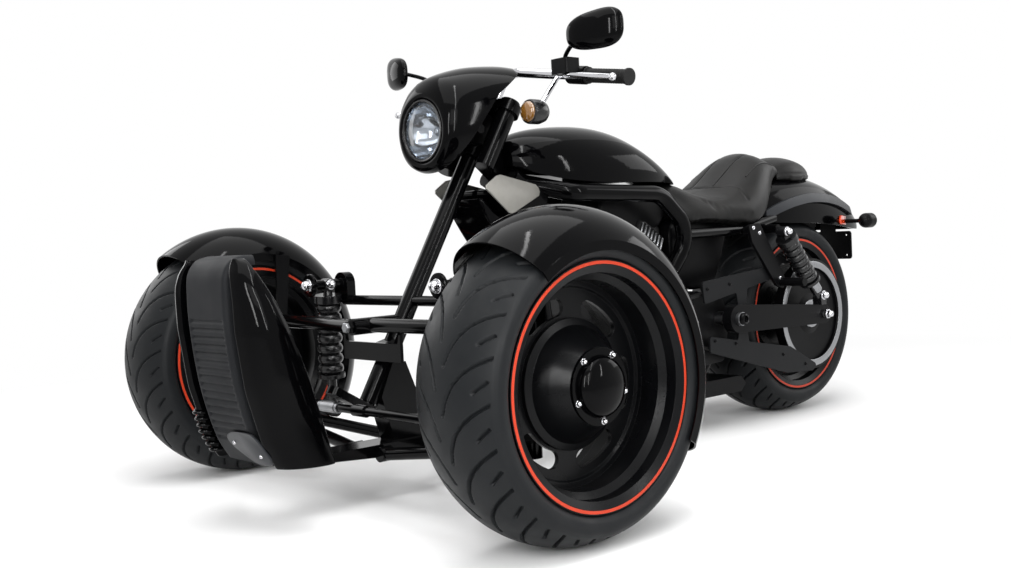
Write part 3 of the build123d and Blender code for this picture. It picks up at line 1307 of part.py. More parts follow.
# Row: height, outer half width, front, rear ahead of the front axle
SHROUD_ROWS = [(145, 188, -360, -232), (340, 214, -412, -262), (592, 178, -NOSE_REACH, -356)]
SCOOP_X = 112
with BuildPart() as shroud_sides:
    for height, out, front, rear in SHROUD_ROWS:
        with BuildSketch(Plane.XY.offset(height)):
            with Locations(((SIDE_IN + out) / 2, from_front((front + rear) / 2))):
                RectangleRounded(out - SIDE_IN, rear - front, 24)
    loft()
    with BuildSketch(panel_plane.offset(60)):
        with Locations((SCOOP_X, lean.length / 2)):
            SlotOverall(lean.length - 110, 26, rotation=90)
    extrude(amount=-100, mode=Mode.SUBTRACT)
    mirror(about=Plane.YZ)
save(shroud_sides.part, "shroud_sides")

# Intake scoops below the tank's front, each side of the cradle tubes
INTAKE_OUTLINE = [(330, 748), (522, 742), (500, 690), (385, 685)]  # behind the front axle, height
INTAKE_IN = 10
INTAKE_OUT = 103
with BuildPart() as intake_scoops:
    with BuildSketch(Plane.YZ.offset(INTAKE_IN)):
        with BuildLine():
            Polyline(*[(from_front(y), z) for y, z in INTAKE_OUTLINE], close=True)
        make_face()
        fillet(vertices(), 12)
    extrude(amount=INTAKE_OUT - INTAKE_IN)
    mirror(about=Plane.YZ)
    for neighbour in (frame_cradle, frame_neck, frame_rails, tank_cover):
        add(neighbour.part, mode=Mode.SUBTRACT)
save(intake_scoops.part, "intake_scoops")
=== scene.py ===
# %% [markdown]
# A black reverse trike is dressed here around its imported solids.
# The solids give the sizes and places; this script adds finishes, tread, seams, bolts, light and finer forms.
# Forward is -Y, up is +Z and the rider's left is +X, all in metres.

# %% Load the frame
import math

import bmesh
import bpy
import numpy as np
from mathutils import Matrix, Vector
from mathutils.bvhtree import BVHTree


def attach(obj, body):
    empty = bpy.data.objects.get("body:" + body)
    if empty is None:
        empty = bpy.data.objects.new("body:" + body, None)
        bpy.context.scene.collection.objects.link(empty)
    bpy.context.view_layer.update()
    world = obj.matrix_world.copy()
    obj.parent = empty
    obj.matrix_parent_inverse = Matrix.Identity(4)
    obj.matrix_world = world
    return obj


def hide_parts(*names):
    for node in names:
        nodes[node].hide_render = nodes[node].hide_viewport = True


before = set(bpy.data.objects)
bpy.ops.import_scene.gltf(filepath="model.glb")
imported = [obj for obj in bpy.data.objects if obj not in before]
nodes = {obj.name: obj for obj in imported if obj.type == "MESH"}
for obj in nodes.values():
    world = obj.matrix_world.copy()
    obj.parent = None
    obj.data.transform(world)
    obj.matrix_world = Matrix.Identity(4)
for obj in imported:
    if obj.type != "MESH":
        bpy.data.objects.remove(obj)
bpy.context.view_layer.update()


def add_object(name, data):
    """A new object, linked into the scene."""
    thing = bpy.data.objects.new(name, data)
    bpy.context.scene.collection.objects.link(thing)
    return thing


# %% [markdown]
# The camera stands ahead and to the rider's left, a little above the axles.
# Its place, turn and focal length come from the wheels' rim stripes, which are circles of known size.
# A camera's matrix has its right, up and backward directions as columns, so those are worked out and put in.

# %% Camera
PHOTO_WIDTH = 1011
FOCAL_PIXELS = 1159
SENSOR = 36
AZIMUTH, PITCH, ROLL = (math.radians(angle) for angle in (48.24, 2.41, -2.73))
CAMERA_AT = Vector((2.308, -2.412, 0.626))
level_back = Vector((math.sin(AZIMUTH), -math.cos(AZIMUTH), 0))
backward = math.cos(PITCH) * level_back + Vector((0, 0, math.sin(PITCH)))
level = Vector((math.cos(AZIMUTH), math.sin(AZIMUTH), 0))
upright = backward.cross(level)
right = math.cos(ROLL) * level + math.sin(ROLL) * upright
up = -math.sin(ROLL) * level + math.cos(ROLL) * upright
camera_data = bpy.data.cameras.new("photo_camera")
camera_data.sensor_fit = "HORIZONTAL"
camera_data.sensor_width = SENSOR
camera_data.lens = FOCAL_PIXELS / PHOTO_WIDTH * SENSOR
camera = add_object("photo_camera", camera_data)
turn = Matrix((right, up, backward)).transposed()
camera.matrix_world = Matrix.Translation(CAMERA_AT) @ turn.to_4x4()
bpy.context.scene.camera = camera
print("camera lens", round(camera_data.lens, 2))

# %% [markdown]
# Some effects come back in many finishes: uneven gloss, rounded edges that catch light, edges painted lighter
# for wear and as a painted highlight, pebbling and dust.
# Each one is a shader node group, built once and placed in a material with that material's own numbers.
# Object coordinates carry the patterns, so they stay on a piece when its body moves.

# %% Shader groups
VALUE, VECTOR = "NodeSocketFloat", "NodeSocketVector"


def new_group(name, inputs, outputs):
    """Empty shader group with named sockets, its entry sockets and its exit sockets."""
    group = bpy.data.node_groups.new(name, "ShaderNodeTree")
    for label, value in inputs:
        socket = group.interface.new_socket(label, in_out="INPUT", socket_type=VALUE)
        socket.default_value = value
    for label, kind in outputs:
        group.interface.new_socket(label, in_out="OUTPUT", socket_type=kind)
    return group, group.nodes.new("NodeGroupInput").outputs, group.nodes.new("NodeGroupOutput").inputs


def feed(tree, socket, side):
    """Give a socket a number, or link it to another socket."""
    if isinstance(side, (int, float)):
        socket.default_value = side
    else:
        tree.links.new(side, socket)


def own_place(tree):
    """Coordinates that stay with a piece."""
    return tree.nodes.new("ShaderNodeTexCoord").outputs["Object"]


def add_noise(tree, scale_from, detail):
    """Noise on the piece's own coordinates; its scale comes from a socket."""
    noise = tree.nodes.new("ShaderNodeTexNoise")
    noise.inputs["Detail"].default_value = detail
    tree.links.new(own_place(tree), noise.inputs["Vector"])
    tree.links.new(scale_from, noise.inputs["Scale"])
    return noise.outputs["Fac"]


def add_math(tree, operation, first, second):
    """One math node; each side is a socket or a number."""
    node = tree.nodes.new("ShaderNodeMath")
    node.operation = operation
    feed(tree, node.inputs[0], first)
    feed(tree, node.inputs[1], second)
    return node.outputs[0]


def stretch(tree, value, low, high, to_low, to_high):
    """Map a range of a value to another range, clamped."""
    node = tree.nodes.new("ShaderNodeMapRange")
    labels = ("Value", "From Min", "From Max", "To Min", "To Max")
    for label, side in zip(labels, (value, low, high, to_low, to_high)):
        feed(tree, node.inputs[label], side)
    return node.outputs["Result"]


mottle, entry, leave = new_group(
    "uneven_gloss", [("Scale", 9), ("Low", 0.2), ("High", 0.4)], [("Value", VALUE)]
)
patches = add_noise(mottle, entry["Scale"], 5)
mottle.links.new(stretch(mottle, patches, 0.3, 0.7, entry["Low"], entry["High"]), leave["Value"])

# The edge mask lightens a finish's colour along its edges: partly wear, partly a painted highlight.
soft_edge, entry, leave = new_group(
    "soft_edge", [("Radius", 0.0015), ("Rub", 0.5)], [("Normal", VECTOR), ("Mask", VALUE)]
)
bevel = soft_edge.nodes.new("ShaderNodeBevel")
bevel.samples = 4
soft_edge.links.new(entry["Radius"], bevel.inputs["Radius"])
soft_edge.links.new(bevel.outputs["Normal"], leave["Normal"])
flat_normal = soft_edge.nodes.new("ShaderNodeNewGeometry")
facing = soft_edge.nodes.new("ShaderNodeVectorMath")
facing.operation = "DOT_PRODUCT"
soft_edge.links.new(bevel.outputs["Normal"], facing.inputs[0])
soft_edge.links.new(flat_normal.outputs["Normal"], facing.inputs[1])
edge_wear_and_highlight_share = stretch(soft_edge, facing.outputs["Value"], 0.98, 0.8, 0, 1)
soft_edge.links.new(add_math(soft_edge, "MULTIPLY", edge_wear_and_highlight_share, entry["Rub"]), leave["Mask"])

pebble, entry, leave = new_group("fine_pebble", [("Scale", 400)], [("Height", VALUE)])
pebble.links.new(add_noise(pebble, entry["Scale"], 2), leave["Height"])

grain, entry, leave = new_group("leather_grain", [("Scale", 420)], [("Height", VALUE), ("Mask", VALUE)])
cells = grain.nodes.new("ShaderNodeTexVoronoi")
cells.feature = "SMOOTH_F1"
grain.links.new(own_place(grain), cells.inputs["Vector"])
grain.links.new(entry["Scale"], cells.inputs["Scale"])
worn = add_noise(grain, add_math(grain, "MULTIPLY", entry["Scale"], 0.03), 4)
grain.links.new(cells.outputs["Distance"], leave["Height"])
grain.links.new(stretch(grain, worn, 0.35, 0.7, 0, 1), leave["Mask"])

dust, entry, leave = new_group("settled_dust", [("Scale", 30), ("Amount", 0.3)], [("Mask", VALUE)])
specks = add_noise(dust, entry["Scale"], 6)
lying = dust.nodes.new("ShaderNodeNewGeometry")
tilt = dust.nodes.new("ShaderNodeSeparateXYZ")
dust.links.new(lying.outputs["Normal"], tilt.inputs[0])
level_share = stretch(dust, tilt.outputs["Z"], 0.1, 1, 0.25, 1)
both = add_math(dust, "MULTIPLY", level_share, stretch(dust, specks, 0.45, 0.75, 0, 1))
dust.links.new(add_math(dust, "MULTIPLY", both, entry["Amount"]), leave["Mask"])
print("shader groups", [group.name for group in (mottle, soft_edge, pebble, grain, dust)])

# %% [markdown]
# The trike stands on a seamless pale floor under soft studio light.
# Gloss black shows little but reflections, so soft panels and four narrow strips draw its curves.
# The world is white to the camera and to reflections, and dimmer as a light, so the blacks stay deep.
# The floor keeps the soft shadow close by and turns to plain white further out.

# %% Floor, world and lights
FLOOR_HALF = 14
WHITE_FROM, WHITE_BY = 1.5, 3.4
SEEN_STRENGTH, LIGHT_STRENGTH = 1.0, 0.5
# Name, place, target, size, power
LAMPS = [
    ("overhead", (0.4, -0.6, 3.6), (0, 0, 0.3), (3.4, 4.6), 115),
    ("camera_side", (3.6, -2.6, 2.2), (0.2, -0.3, 0.5), (2.2, 1.8), 30),
    ("far_side", (-3.8, -1.4, 2.0), (0, 0, 0.5), (2.4, 2.4), 45),
    ("tail_side", (1.8, 4.2, 2.4), (0, 0.4, 0.5), (2.6, 1.8), 45),
    ("front_strip", (2.9, -2.0, 1.5), (0.2, -1.1, 0.5), (0.12, 1.8), 26),
    ("side_strip", (3.2, 0.6, 1.7), (0.2, 0.1, 0.5), (0.12, 1.9), 24),
    ("nose_strip", (1.95, -3.2, 1.4), (0.16, -1.17, 0.4), (0.24, 1.8), 46),
    ("roof_strip", (1.3, -0.9, 2.9), (0.2, -0.2, 0.6), (0.12, 2.6), 26),
]
for name, spot, target, size, power in LAMPS:
    lamp_data = bpy.data.lights.new(name, "AREA")
    lamp_data.shape = "RECTANGLE"
    lamp_data.size, lamp_data.size_y = size
    lamp_data.energy = power
    lamp = add_object(name, lamp_data)
    lamp.location = spot
    lamp.rotation_euler = (Vector(target) - Vector(spot)).to_track_quat("-Z", "Y").to_euler()


def sees_background(tree):
    """1 for camera, glossy and transmission rays and 0 for the rays that light the scene."""
    rays = tree.nodes.new("ShaderNodeLightPath").outputs
    either = add_math(tree, "MAXIMUM", rays["Is Camera Ray"], rays["Is Glossy Ray"])
    return add_math(tree, "MAXIMUM", either, rays["Is Transmission Ray"])


def mix_shaders(tree, share, first, second):
    """Two shaders mixed by a share, from 0 for the first to 1 for the second."""
    mix = tree.nodes.new("ShaderNodeMixShader")
    for socket, side in zip(mix.inputs, (share, first.outputs[0], second.outputs[0])):
        tree.links.new(side, socket)
    return mix.outputs[0]


def new_material(name):
    """A material, its node tree and its Principled node."""
    material = bpy.data.materials.new(name)
    material.use_nodes = True
    return material, material.node_tree, material.node_tree.nodes["Principled BSDF"]


def set_inputs(node, values):
    """Numbers for a node's sockets."""
    for label, value in values.items():
        node.inputs[label].default_value = value


world = bpy.data.worlds.new("studio")
bpy.context.scene.world = world
world.use_nodes = True
sky = world.node_tree
sky.nodes.clear()
seen, lit = (sky.nodes.new("ShaderNodeBackground") for _ in range(2))
set_inputs(seen, {"Color": (1, 1, 1, 1), "Strength": SEEN_STRENGTH})
set_inputs(lit, {"Color": (1, 1, 1, 1), "Strength": LIGHT_STRENGTH})
sky_out = sky.nodes.new("ShaderNodeOutputWorld")
sky.links.new(mix_shaders(sky, sees_background(sky), lit, seen), sky_out.inputs["Surface"])
bpy.context.scene.view_settings.view_transform = "Standard"

floor_mesh = bpy.data.meshes.new("floor")
floor_corners = [(x * FLOOR_HALF, y * FLOOR_HALF, 0) for x, y in ((-1, -1), (1, -1), (1, 1), (-1, 1))]
floor_mesh.from_pydata(floor_corners, [], [(0, 1, 2, 3)])
floor = add_object("floor", floor_mesh)
floor_finish, tree, surface = new_material("pale_floor")
set_inputs(surface, {"Base Color": (0.87, 0.87, 0.87, 1), "Roughness": 0.95, "Specular IOR Level": 0})
reach = tree.nodes.new("ShaderNodeVectorMath")
reach.operation = "LENGTH"
tree.links.new(own_place(tree), reach.inputs[0])
away = stretch(tree, reach.outputs["Value"], WHITE_FROM, WHITE_BY, 0, 1)
white_share = add_math(tree, "MULTIPLY", away, sees_background(tree))
plain_white = tree.nodes.new("ShaderNodeEmission")
floor_mix = mix_shaders(tree, white_share, surface, plain_white)
tree.links.new(floor_mix, tree.nodes["Material Output"].inputs["Surface"])
floor_mesh.materials.append(floor_finish)
print("lamps", len(LAMPS))

# %% [markdown]
# A finish is a Principled surface fed by those groups.
# Paint is nearly black and smooth, satin scatters more, metal is bare and lenses have a clear coat.
# One function makes them all, so each finish is a short row of numbers.

# %% Finishes
EDGE_RADIUS = 0.0015
DUST_COLOUR = (0.3, 0.29, 0.27, 1)


def place_group(tree, group, **values):
    """Put a shader group into a material with its own numbers."""
    node = tree.nodes.new("ShaderNodeGroup")
    node.node_tree = group
    set_inputs(node, values)
    return node


def mix_colours(tree, share, second, first=None):
    """Two colours mixed by a share. The first may be linked later."""
    mix = tree.nodes.new("ShaderNodeMix")
    mix.data_type = "RGBA"
    if first:
        mix.inputs["A"].default_value = first
    mix.inputs["B"].default_value = second
    tree.links.new(share, mix.inputs["Factor"])
    return mix


def make_finish(
    name, base, gloss, edge_wear_and_highlight=0.25, pebbles=(0, 0), coat=0.0, metallic=0.0, dusty=0.0, shine=0.5, patch=9
):
    """Principled finish: base in RGB, gloss as a roughness range, pebbles as the bump's scale and depth."""
    material, tree, surface = new_material(name)
    coating = {"Coat Weight": coat, "Coat Roughness": 0.03}
    set_inputs(surface, {"Metallic": metallic, "Specular IOR Level": shine, **coating})
    uneven = place_group(tree, mottle, Scale=patch, Low=gloss[0], High=gloss[1])
    edges = place_group(tree, soft_edge, Radius=EDGE_RADIUS, Rub=edge_wear_and_highlight)
    powder = place_group(tree, dust, Amount=dusty)
    # Edges take a lighter colour here: partly wear, partly a painted highlight along them.
    worn_and_highlit_base = (*[min(1, 0.06 + 1.8 * channel) for channel in base], 1)
    worn_and_highlit_colour = mix_colours(tree, edges.outputs["Mask"], worn_and_highlit_base, (*base, 1))
    dusted = mix_colours(tree, powder.outputs["Mask"], DUST_COLOUR)
    tree.links.new(worn_and_highlit_colour.outputs["Result"], dusted.inputs["A"])
    tree.links.new(dusted.outputs["Result"], surface.inputs["Base Color"])
    tree.links.new(uneven.outputs["Value"], surface.inputs["Roughness"])
    normal = edges.outputs["Normal"]
    if pebbles[1]:
        texture = place_group(tree, pebble, Scale=pebbles[0])
        bump = tree.nodes.new("ShaderNodeBump")
        bump.inputs["Distance"].default_value = pebbles[1]
        tree.links.new(texture.outputs["Height"], bump.inputs["Height"])
        tree.links.new(normal, bump.inputs["Normal"])
        normal = bump.outputs["Normal"]
    tree.links.new(normal, surface.inputs["Normal"])
    return material


gloss_paint = make_finish(
    "gloss_black_paint", (0.0008, 0.0008, 0.001), (0.05, 0.09), edge_wear_and_highlight=0.015, pebbles=(260, 0.00005), shine=0.07
)
frame_coat = make_finish("frame_gloss_black", (0.0012, 0.0012, 0.0014), (0.1, 0.17), edge_wear_and_highlight=0.02, shine=0.1)
satin_coat = make_finish(
    "satin_black_coat", (0.002, 0.002, 0.0023), (0.28, 0.4), edge_wear_and_highlight=0.03, pebbles=(900, 0.00006), shine=0.08
)
wheel_coat = make_finish(
    "wheel_satin_black", (0.002, 0.0021, 0.0025), (0.25, 0.34), edge_wear_and_highlight=0.02, pebbles=(1200, 0.00003), shine=0.12
)
cast_black = make_finish(
    "cast_black", (0.003, 0.003, 0.0034), (0.32, 0.46), edge_wear_and_highlight=0.05, pebbles=(520, 0.00025), shine=0.12
)
ribbed_black = make_finish(
    "ribbed_matt_black", (0.009, 0.0096, 0.011), (0.5, 0.65),
    edge_wear_and_highlight=0.05, pebbles=(700, 0.0001), dusty=0.02, shine=0.1,
)
strut_grey = make_finish(
    "strut_satin_grey", (0.018, 0.0195, 0.0225), (0.34, 0.46), edge_wear_and_highlight=0.05, pebbles=(900, 0.00005), shine=0.2
)
guard_black = make_finish(
    "guard_textured_black", (0.006, 0.0063, 0.007), (0.36, 0.48), edge_wear_and_highlight=0.04, pebbles=(800, 0.0001), shine=0.1
)
bare_alloy = make_finish("bare_alloy", (0.28, 0.285, 0.295), (0.26, 0.4), edge_wear_and_highlight=0.2, metallic=1, patch=24)
polished = make_finish("polished_metal", (0.56, 0.56, 0.58), (0.06, 0.12), edge_wear_and_highlight=0.1, metallic=1)
brushed_panel = make_finish(
    "brushed_panel", (0.2, 0.195, 0.18), (0.34, 0.5), edge_wear_and_highlight=0.2, pebbles=(1500, 0.0004), metallic=1, patch=60
)
rubber = make_finish("grip_rubber", (0.006, 0.006, 0.006), (0.6, 0.75), pebbles=(700, 0.00015), shine=0.2)
tyre_rubber = make_finish(
    "tyre_rubber", (0.0055, 0.0063, 0.0072), (0.42, 0.56),
    edge_wear_and_highlight=0.05, pebbles=(420, 0.0001), dusty=0.02, shine=0.15, patch=22,
)
orange_stripe = make_finish("orange_stripe", (0.44, 0.036, 0.012), (0.3, 0.4), edge_wear_and_highlight=0.02, shine=0.2)
spring_black = make_finish("spring_black", (0.004, 0.004, 0.0045), (0.2, 0.3), edge_wear_and_highlight=0.08, shine=0.4)
lamp_chrome = make_finish("lamp_reflector", (0.3, 0.33, 0.37), (0.06, 0.14), edge_wear_and_highlight=0.05, metallic=1)
smoke_lens = make_finish("smoked_amber_lens", (0.16, 0.07, 0.012), (0.05, 0.1), coat=1)
red_lens = make_finish("red_lens", (0.6, 0.05, 0.012), (0.08, 0.14), coat=0.6)
amber_lens = make_finish("amber_lens", (0.8, 0.2, 0.02), (0.08, 0.14), coat=0.6)
mirror_glass = make_finish("mirror_glass", (0.85, 0.86, 0.88), (0.01, 0.03), edge_wear_and_highlight=0, metallic=1)

lens_glass, tree, surface = new_material("lamp_glass")
set_inputs(surface, {"Base Color": (1, 1, 1, 1), "Transmission Weight": 1, "IOR": 1.3})
smears = place_group(tree, mottle, Scale=14, Low=0.0, High=0.05)
tree.links.new(smears.outputs["Value"], surface.inputs["Roughness"])

leather, tree, surface = new_material("seat_leather")
surface.inputs["Specular IOR Level"].default_value = 0.18
pores = place_group(tree, grain, Scale=420)
tone = mix_colours(tree, pores.outputs["Mask"], (0.007, 0.0066, 0.0062, 1), (0.004, 0.004, 0.004, 1))
tree.links.new(tone.outputs["Result"], surface.inputs["Base Color"])
tree.links.new(stretch(tree, pores.outputs["Mask"], 0, 1, 0.36, 0.5), surface.inputs["Roughness"])
creases = tree.nodes.new("ShaderNodeBump")
set_inputs(creases, {"Distance": 0.0006, "Strength": 0.5})
tree.links.new(pores.outputs["Height"], creases.inputs["Height"])
tree.links.new(creases.outputs["Normal"], surface.inputs["Normal"])
print("finishes made", len(bpy.data.materials))

# %% [markdown]
# Each solid whose shape stays takes a finish.
# The rest are replaced further down by pieces of their own.

# %% Finishes on the solids
FINISHES = {
    gloss_paint: [
        "hub_cap_left", "hub_cap_right", "fender_front_left", "fender_front_right", "tank_cover",
        "rear_fender", "frame_rails", "intake_scoops",
    ],
    frame_coat: [
        "column_tube", "upper_arms", "lower_arms", "frame_neck", "frame_cradle", "tie_rod", "steering_stem",
        "shock_beam", "rear_subframe", "front_beam",
    ],
    wheel_coat: ["rim_front_left", "rim_front_right", "rim_rear"],
    satin_coat: [
        "knuckle_left", "knuckle_right", "swingarm", "belt_pulley", "exhaust", "low_box", "foot_pegs",
        "peg_plates", "plate_bracket", "bar_controls", "rear_signals",
    ],
    cast_black: ["crankcase", "cylinders", "pivot_plates"],
    ribbed_black: ["radiator_core"],
    strut_grey: ["fender_struts"],
    guard_black: ["belt_guards"],
    bare_alloy: ["axles"],
    polished: ["handlebar"],
    spring_black: ["front_shocks", "rear_shocks"],
    rubber: ["grips", "drive_belt"],
}
for finish, names in FINISHES.items():
    for node_name in names:
        materials = nodes[node_name].data.materials
        materials.clear()
        materials.append(finish)
print("finishes on", sum(len(names) for names in FINISHES.values()), "of", len(nodes), "solids")

# %% [markdown]
# Small hardware is turned or bent stock on the real trike, so a few helpers make it here.
# One spins a profile round an axis, one sweeps a bar along points, and one pushes an outline to a thickness.
# Each gives back a closed mesh, which rides on the body that carries it.

# %% Mesh helpers
MM = 0.001
FRONT_AXLE_Y, REAR_AXLE_Y = -0.79, 0.84
TYRE_RADIUS = 0.324
SIDES = (1, -1)


def place_at(x, behind, height):
    """A place in metres from half width, distance behind the front axle and height in millimetres."""
    return Vector((x * MM, FRONT_AXLE_Y + behind * MM, height * MM))


def both_sides(x, behind, height):
    """The same place on the left and on the right."""
    return [place_at(side * x, behind, height) for side in SIDES]


def add_mesh(name, points, faces, finish, body, slot_name, sharp=35):
    """A piece from points and faces; edges sharper than an angle in degrees stay crisp."""
    mesh = bpy.data.meshes.new(name)
    mesh.from_pydata([tuple(point) for point in points], [], faces)
    builder = bmesh.new()
    builder.from_mesh(mesh)
    bmesh.ops.recalc_face_normals(builder, faces=builder.faces[:])
    builder.to_mesh(mesh)
    builder.free()
    mesh.polygons.foreach_set("use_smooth", [True] * len(mesh.polygons))
    mesh.set_sharp_from_angle(angle=math.radians(sharp))
    mesh.materials.append(finish)
    piece = add_object(name, mesh)
    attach(piece, body)
    return piece


def join(name, blocks, finish, body, slot_name):
    """Several closed meshes as one piece."""
    points, faces = [], []
    for block_points, block_faces in blocks:
        start = len(points)
        points += list(block_points)
        faces += [tuple(corner + start for corner in face) for face in block_faces]
    return add_mesh(name, points, faces, finish, body, slot_name)


def row_faces(rows, count, shut=True, ring=False):
    """Faces between closed rows of points. The end rows are shut, left open, or joined to make a ring."""
    faces = [tuple(range(count)), tuple(range((rows - 1) * count, rows * count))] if shut else []
    for row in range(rows if ring else rows - 1):
        low, high = row * count, (row + 1) % rows * count
        for step in range(count):
            after = (step + 1) % count
            faces.append((low + step, low + after, high + after, high + step))
    return faces


def weld(points, faces):
    """Join points that fall together, such as a profile's ends on its axis."""
    keep, index, seen = [], [], {}
    for point in points:
        key = tuple(round(value, 6) for value in point)
        if key not in seen:
            seen[key] = len(keep)
            keep.append(point)
        index.append(seen[key])
    joined = [tuple(dict.fromkeys(index[corner] for corner in face)) for face in faces]
    return keep, [face for face in joined if len(face) > 2]


def across(axis):
    """Two unit directions square to an axis."""
    axis = Vector(axis).normalized()
    first = axis.cross(Vector((0, 0, 1)) if abs(axis.z) < 0.9 else Vector((0, 1, 0))).normalized()
    return first, axis.cross(first)


def lathe(profile, centre, axis, turns=48):
    """A profile in millimetres along and out, spun round an axis. One that starts off it makes a ring."""
    axis = Vector(axis).normalized()
    first, second = across(axis)
    points = []
    for along, radius in profile:
        for step in range(turns):
            angle = 2 * math.pi * step / turns
            spoke = math.cos(angle) * first + math.sin(angle) * second
            points.append(Vector(centre) + axis * along * MM + radius * MM * spoke)
    return weld(points, row_faces(len(profile), turns, shut=False, ring=profile[0][1] > 0))


def turned(name, profile, centre, axis, finish, body, slot_name, turns=48):
    """A turned piece."""
    return add_mesh(name, *lathe(profile, centre, axis, turns), finish, body, slot_name)


# Along, radius of a cap screw's head with a soft crown, and of a washer under a domed nut, for a radius of 1
SCREW = [(-1, 0), (-1, 1), (0.35, 1), (0.6, 0.86), (0.7, 0.6), (0.62, 0.5), (0.3, 0.46), (0.3, 0)]
DOME_NUT = [
    (-1, 0), (-1, 1.25), (0.12, 1.25), (0.2, 1.18), (0.2, 0.95),
    (0.75, 0.92), (1.15, 0.74), (1.4, 0.42), (1.5, 0),
]
SUNK = -0.3


def fastener(shape, centre, axis, radius, turns=24):
    """A screw or nut of a radius in millimetres, sunk a little into its seat."""
    return lathe([(max(along, SUNK) * radius, out * radius) for along, out in shape], centre, axis, turns)


def bar(path, radius, sides=16):
    """A round bar along points, with its ends closed. The radius is one number or one per point."""
    path = [Vector(point) for point in path]
    radii = radius if isinstance(radius, list) else [radius] * len(path)
    points = []
    side_way = across(path[1] - path[0])[0]
    for row, point in enumerate(path):
        way = (path[min(row + 1, len(path) - 1)] - path[max(row - 1, 0)]).normalized()
        side_way = (side_way - way * side_way.dot(way)).normalized()
        other = way.cross(side_way)
        for step in range(sides):
            angle = 2 * math.pi * step / sides
            points.append(point + radii[row] * (math.cos(angle) * side_way + math.sin(angle) * other))
    return points, row_faces(len(path), sides)


def smooth_path(points, steps=8, loop=False):
    """Points on a smooth curve through given points."""
    points = [Vector(point) for point in points]
    count = len(points)
    path = []
    for span in range(count if loop else count - 1):
        near = [span + shift for shift in (-1, 0, 1, 2)]
        near = [number % count if loop else min(max(number, 0), count - 1) for number in near]
        before, start, end, after = (points[number] for number in near)
        for step in range(steps):
            share = step / steps
            bend = (2 * before - 5 * start + 4 * end - after) * share**2
            twist = (3 * start - before - 3 * end + after) * share**3
            path.append(0.5 * (2 * start + (end - before) * share + bend + twist))
    return path if loop else path + [points[-1]]


def slab(outline, push, round_off=0.0):
    """A closed outline pushed along a vector, with its far edge drawn in by a share."""
    outline = [Vector(point) for point in outline]
    middle = sum(outline, Vector()) / len(outline)
    rows = [(0, 1), (0.7, 1), (1, 1 - round_off)]
    points = []
    for share, size in rows:
        points += [middle + (point - middle) * size + Vector(push) * share for point in outline]
    return points, row_faces(len(rows), len(outline))


# %% [markdown]
# A tyre's tread has long curved grooves from each shoulder to the middle, with short ones between.
# A bump map would look flat at the outline, so the grooves are real here.
# The tyre's section is spun as a grid, and each tread point near a groove line of one repeat is sunk.

# %% Tyres
PITCHES = 22
STEPS_PER_PITCH = 40
TREAD_PITCH = 2 * math.pi * TYRE_RADIUS / PITCHES
GROOVE_DEPTH, GROOVE_HALF, GROOVE_WALL = 0.0072, 0.0027, 0.0016
TREAD_EDGE = 0.2925
WALL_RINGS, RING_DEPTH, RING_HALF = (0.262, 0.286), 0.0006, 0.0012
# One side's groove lines: distance along the tread, out from the middle, in millimetres
LONG_GROOVE = [(4, 109), (-4, 96), (-18, 74), (-36, 52), (-58, 33), (-86, 18), (-114, 9)]
SHORT_GROOVE = [(-46, 101), (-56, 90), (-68, 78)]


def arc_through(start, middle, end, count):
    """Points on the circle through three points."""
    (ax, ay), (bx, by), (cx, cy) = start, middle, end
    a, b, c = ax**2 + ay**2, bx**2 + by**2, cx**2 + cy**2
    d = 2 * (ax * (by - cy) + bx * (cy - ay) + cx * (ay - by))
    ux = (a * (by - cy) + b * (cy - ay) + c * (ay - by)) / d
    uy = (a * (cx - bx) + b * (ax - cx) + c * (bx - ax)) / d
    radius = math.hypot(ax - ux, ay - uy)
    first, last = math.atan2(ay - uy, ax - ux), math.atan2(cy - uy, cx - ux)
    turn = (last - first + math.pi) % (2 * math.pi) - math.pi
    angles = [first + turn * step / count for step in range(count + 1)]
    return [(ux + radius * math.cos(angle), uy + radius * math.sin(angle)) for angle in angles]


# Outer section from one bead over the crown to the other, in millimetres across and out
wall = arc_through((104, 248), (119.9, 270), (108, 292), 22)
crown = arc_through((108, 292), (0, 324), (-108, 292), 92)
section = wall + crown[1:] + [(-x, radius) for x, radius in reversed(wall)][1:]
outer_count = len(section)
liner = arc_through((-102, 276), (0, 308), (102, 276), 14)
section += [(-104, 230), (-90, 230), (-90, 240)] + liner + [(90, 240), (90, 230), (104, 230)]
section = np.array(section) * MM


def distance_to_line(along, out, line):
    """Distance of each grid point from a polyline."""
    nearest = np.full(along.shape, 1.0)
    for (a0, x0), (a1, x1) in zip(line[:-1], line[1:]):
        run = np.array([a1 - a0, x1 - x0]) * MM
        share = ((along - a0 * MM) * run[0] + (out - x0 * MM) * run[1]) / (run @ run)
        share = np.clip(share, 0, 1)
        gap = np.hypot(along - a0 * MM - share * run[0], out - x0 * MM - share * run[1])
        nearest = np.minimum(nearest, gap)
    return nearest


def tread_sink():
    """How far each point of one repeat is sunk: rows along the tread, columns across the outer section."""
    steps_along = np.arange(STEPS_PER_PITCH) / STEPS_PER_PITCH * TREAD_PITCH
    along, out = np.meshgrid(steps_along, section[:outer_count, 0], indexing="ij")
    nearest = np.full(along.shape, 1.0)
    for side, shift in ((1, 0), (-1, 0.5)):
        for line in (LONG_GROOVE, SHORT_GROOVE):
            for repeat in (-2, -1, 0, 1, 2):
                gap = distance_to_line(along + (repeat + shift) * TREAD_PITCH, side * out, line)
                nearest = np.minimum(nearest, gap)
    sink = GROOVE_DEPTH * np.clip((GROOVE_HALF + GROOVE_WALL / 2 - nearest) / GROOVE_WALL, 0, 1)
    radius = section[:outer_count, 1]
    rings = RING_DEPTH * sum(np.exp(-(((radius - ring) / RING_HALF) ** 2)) for ring in WALL_RINGS)
    return np.where(radius > TREAD_EDGE, sink, rings)


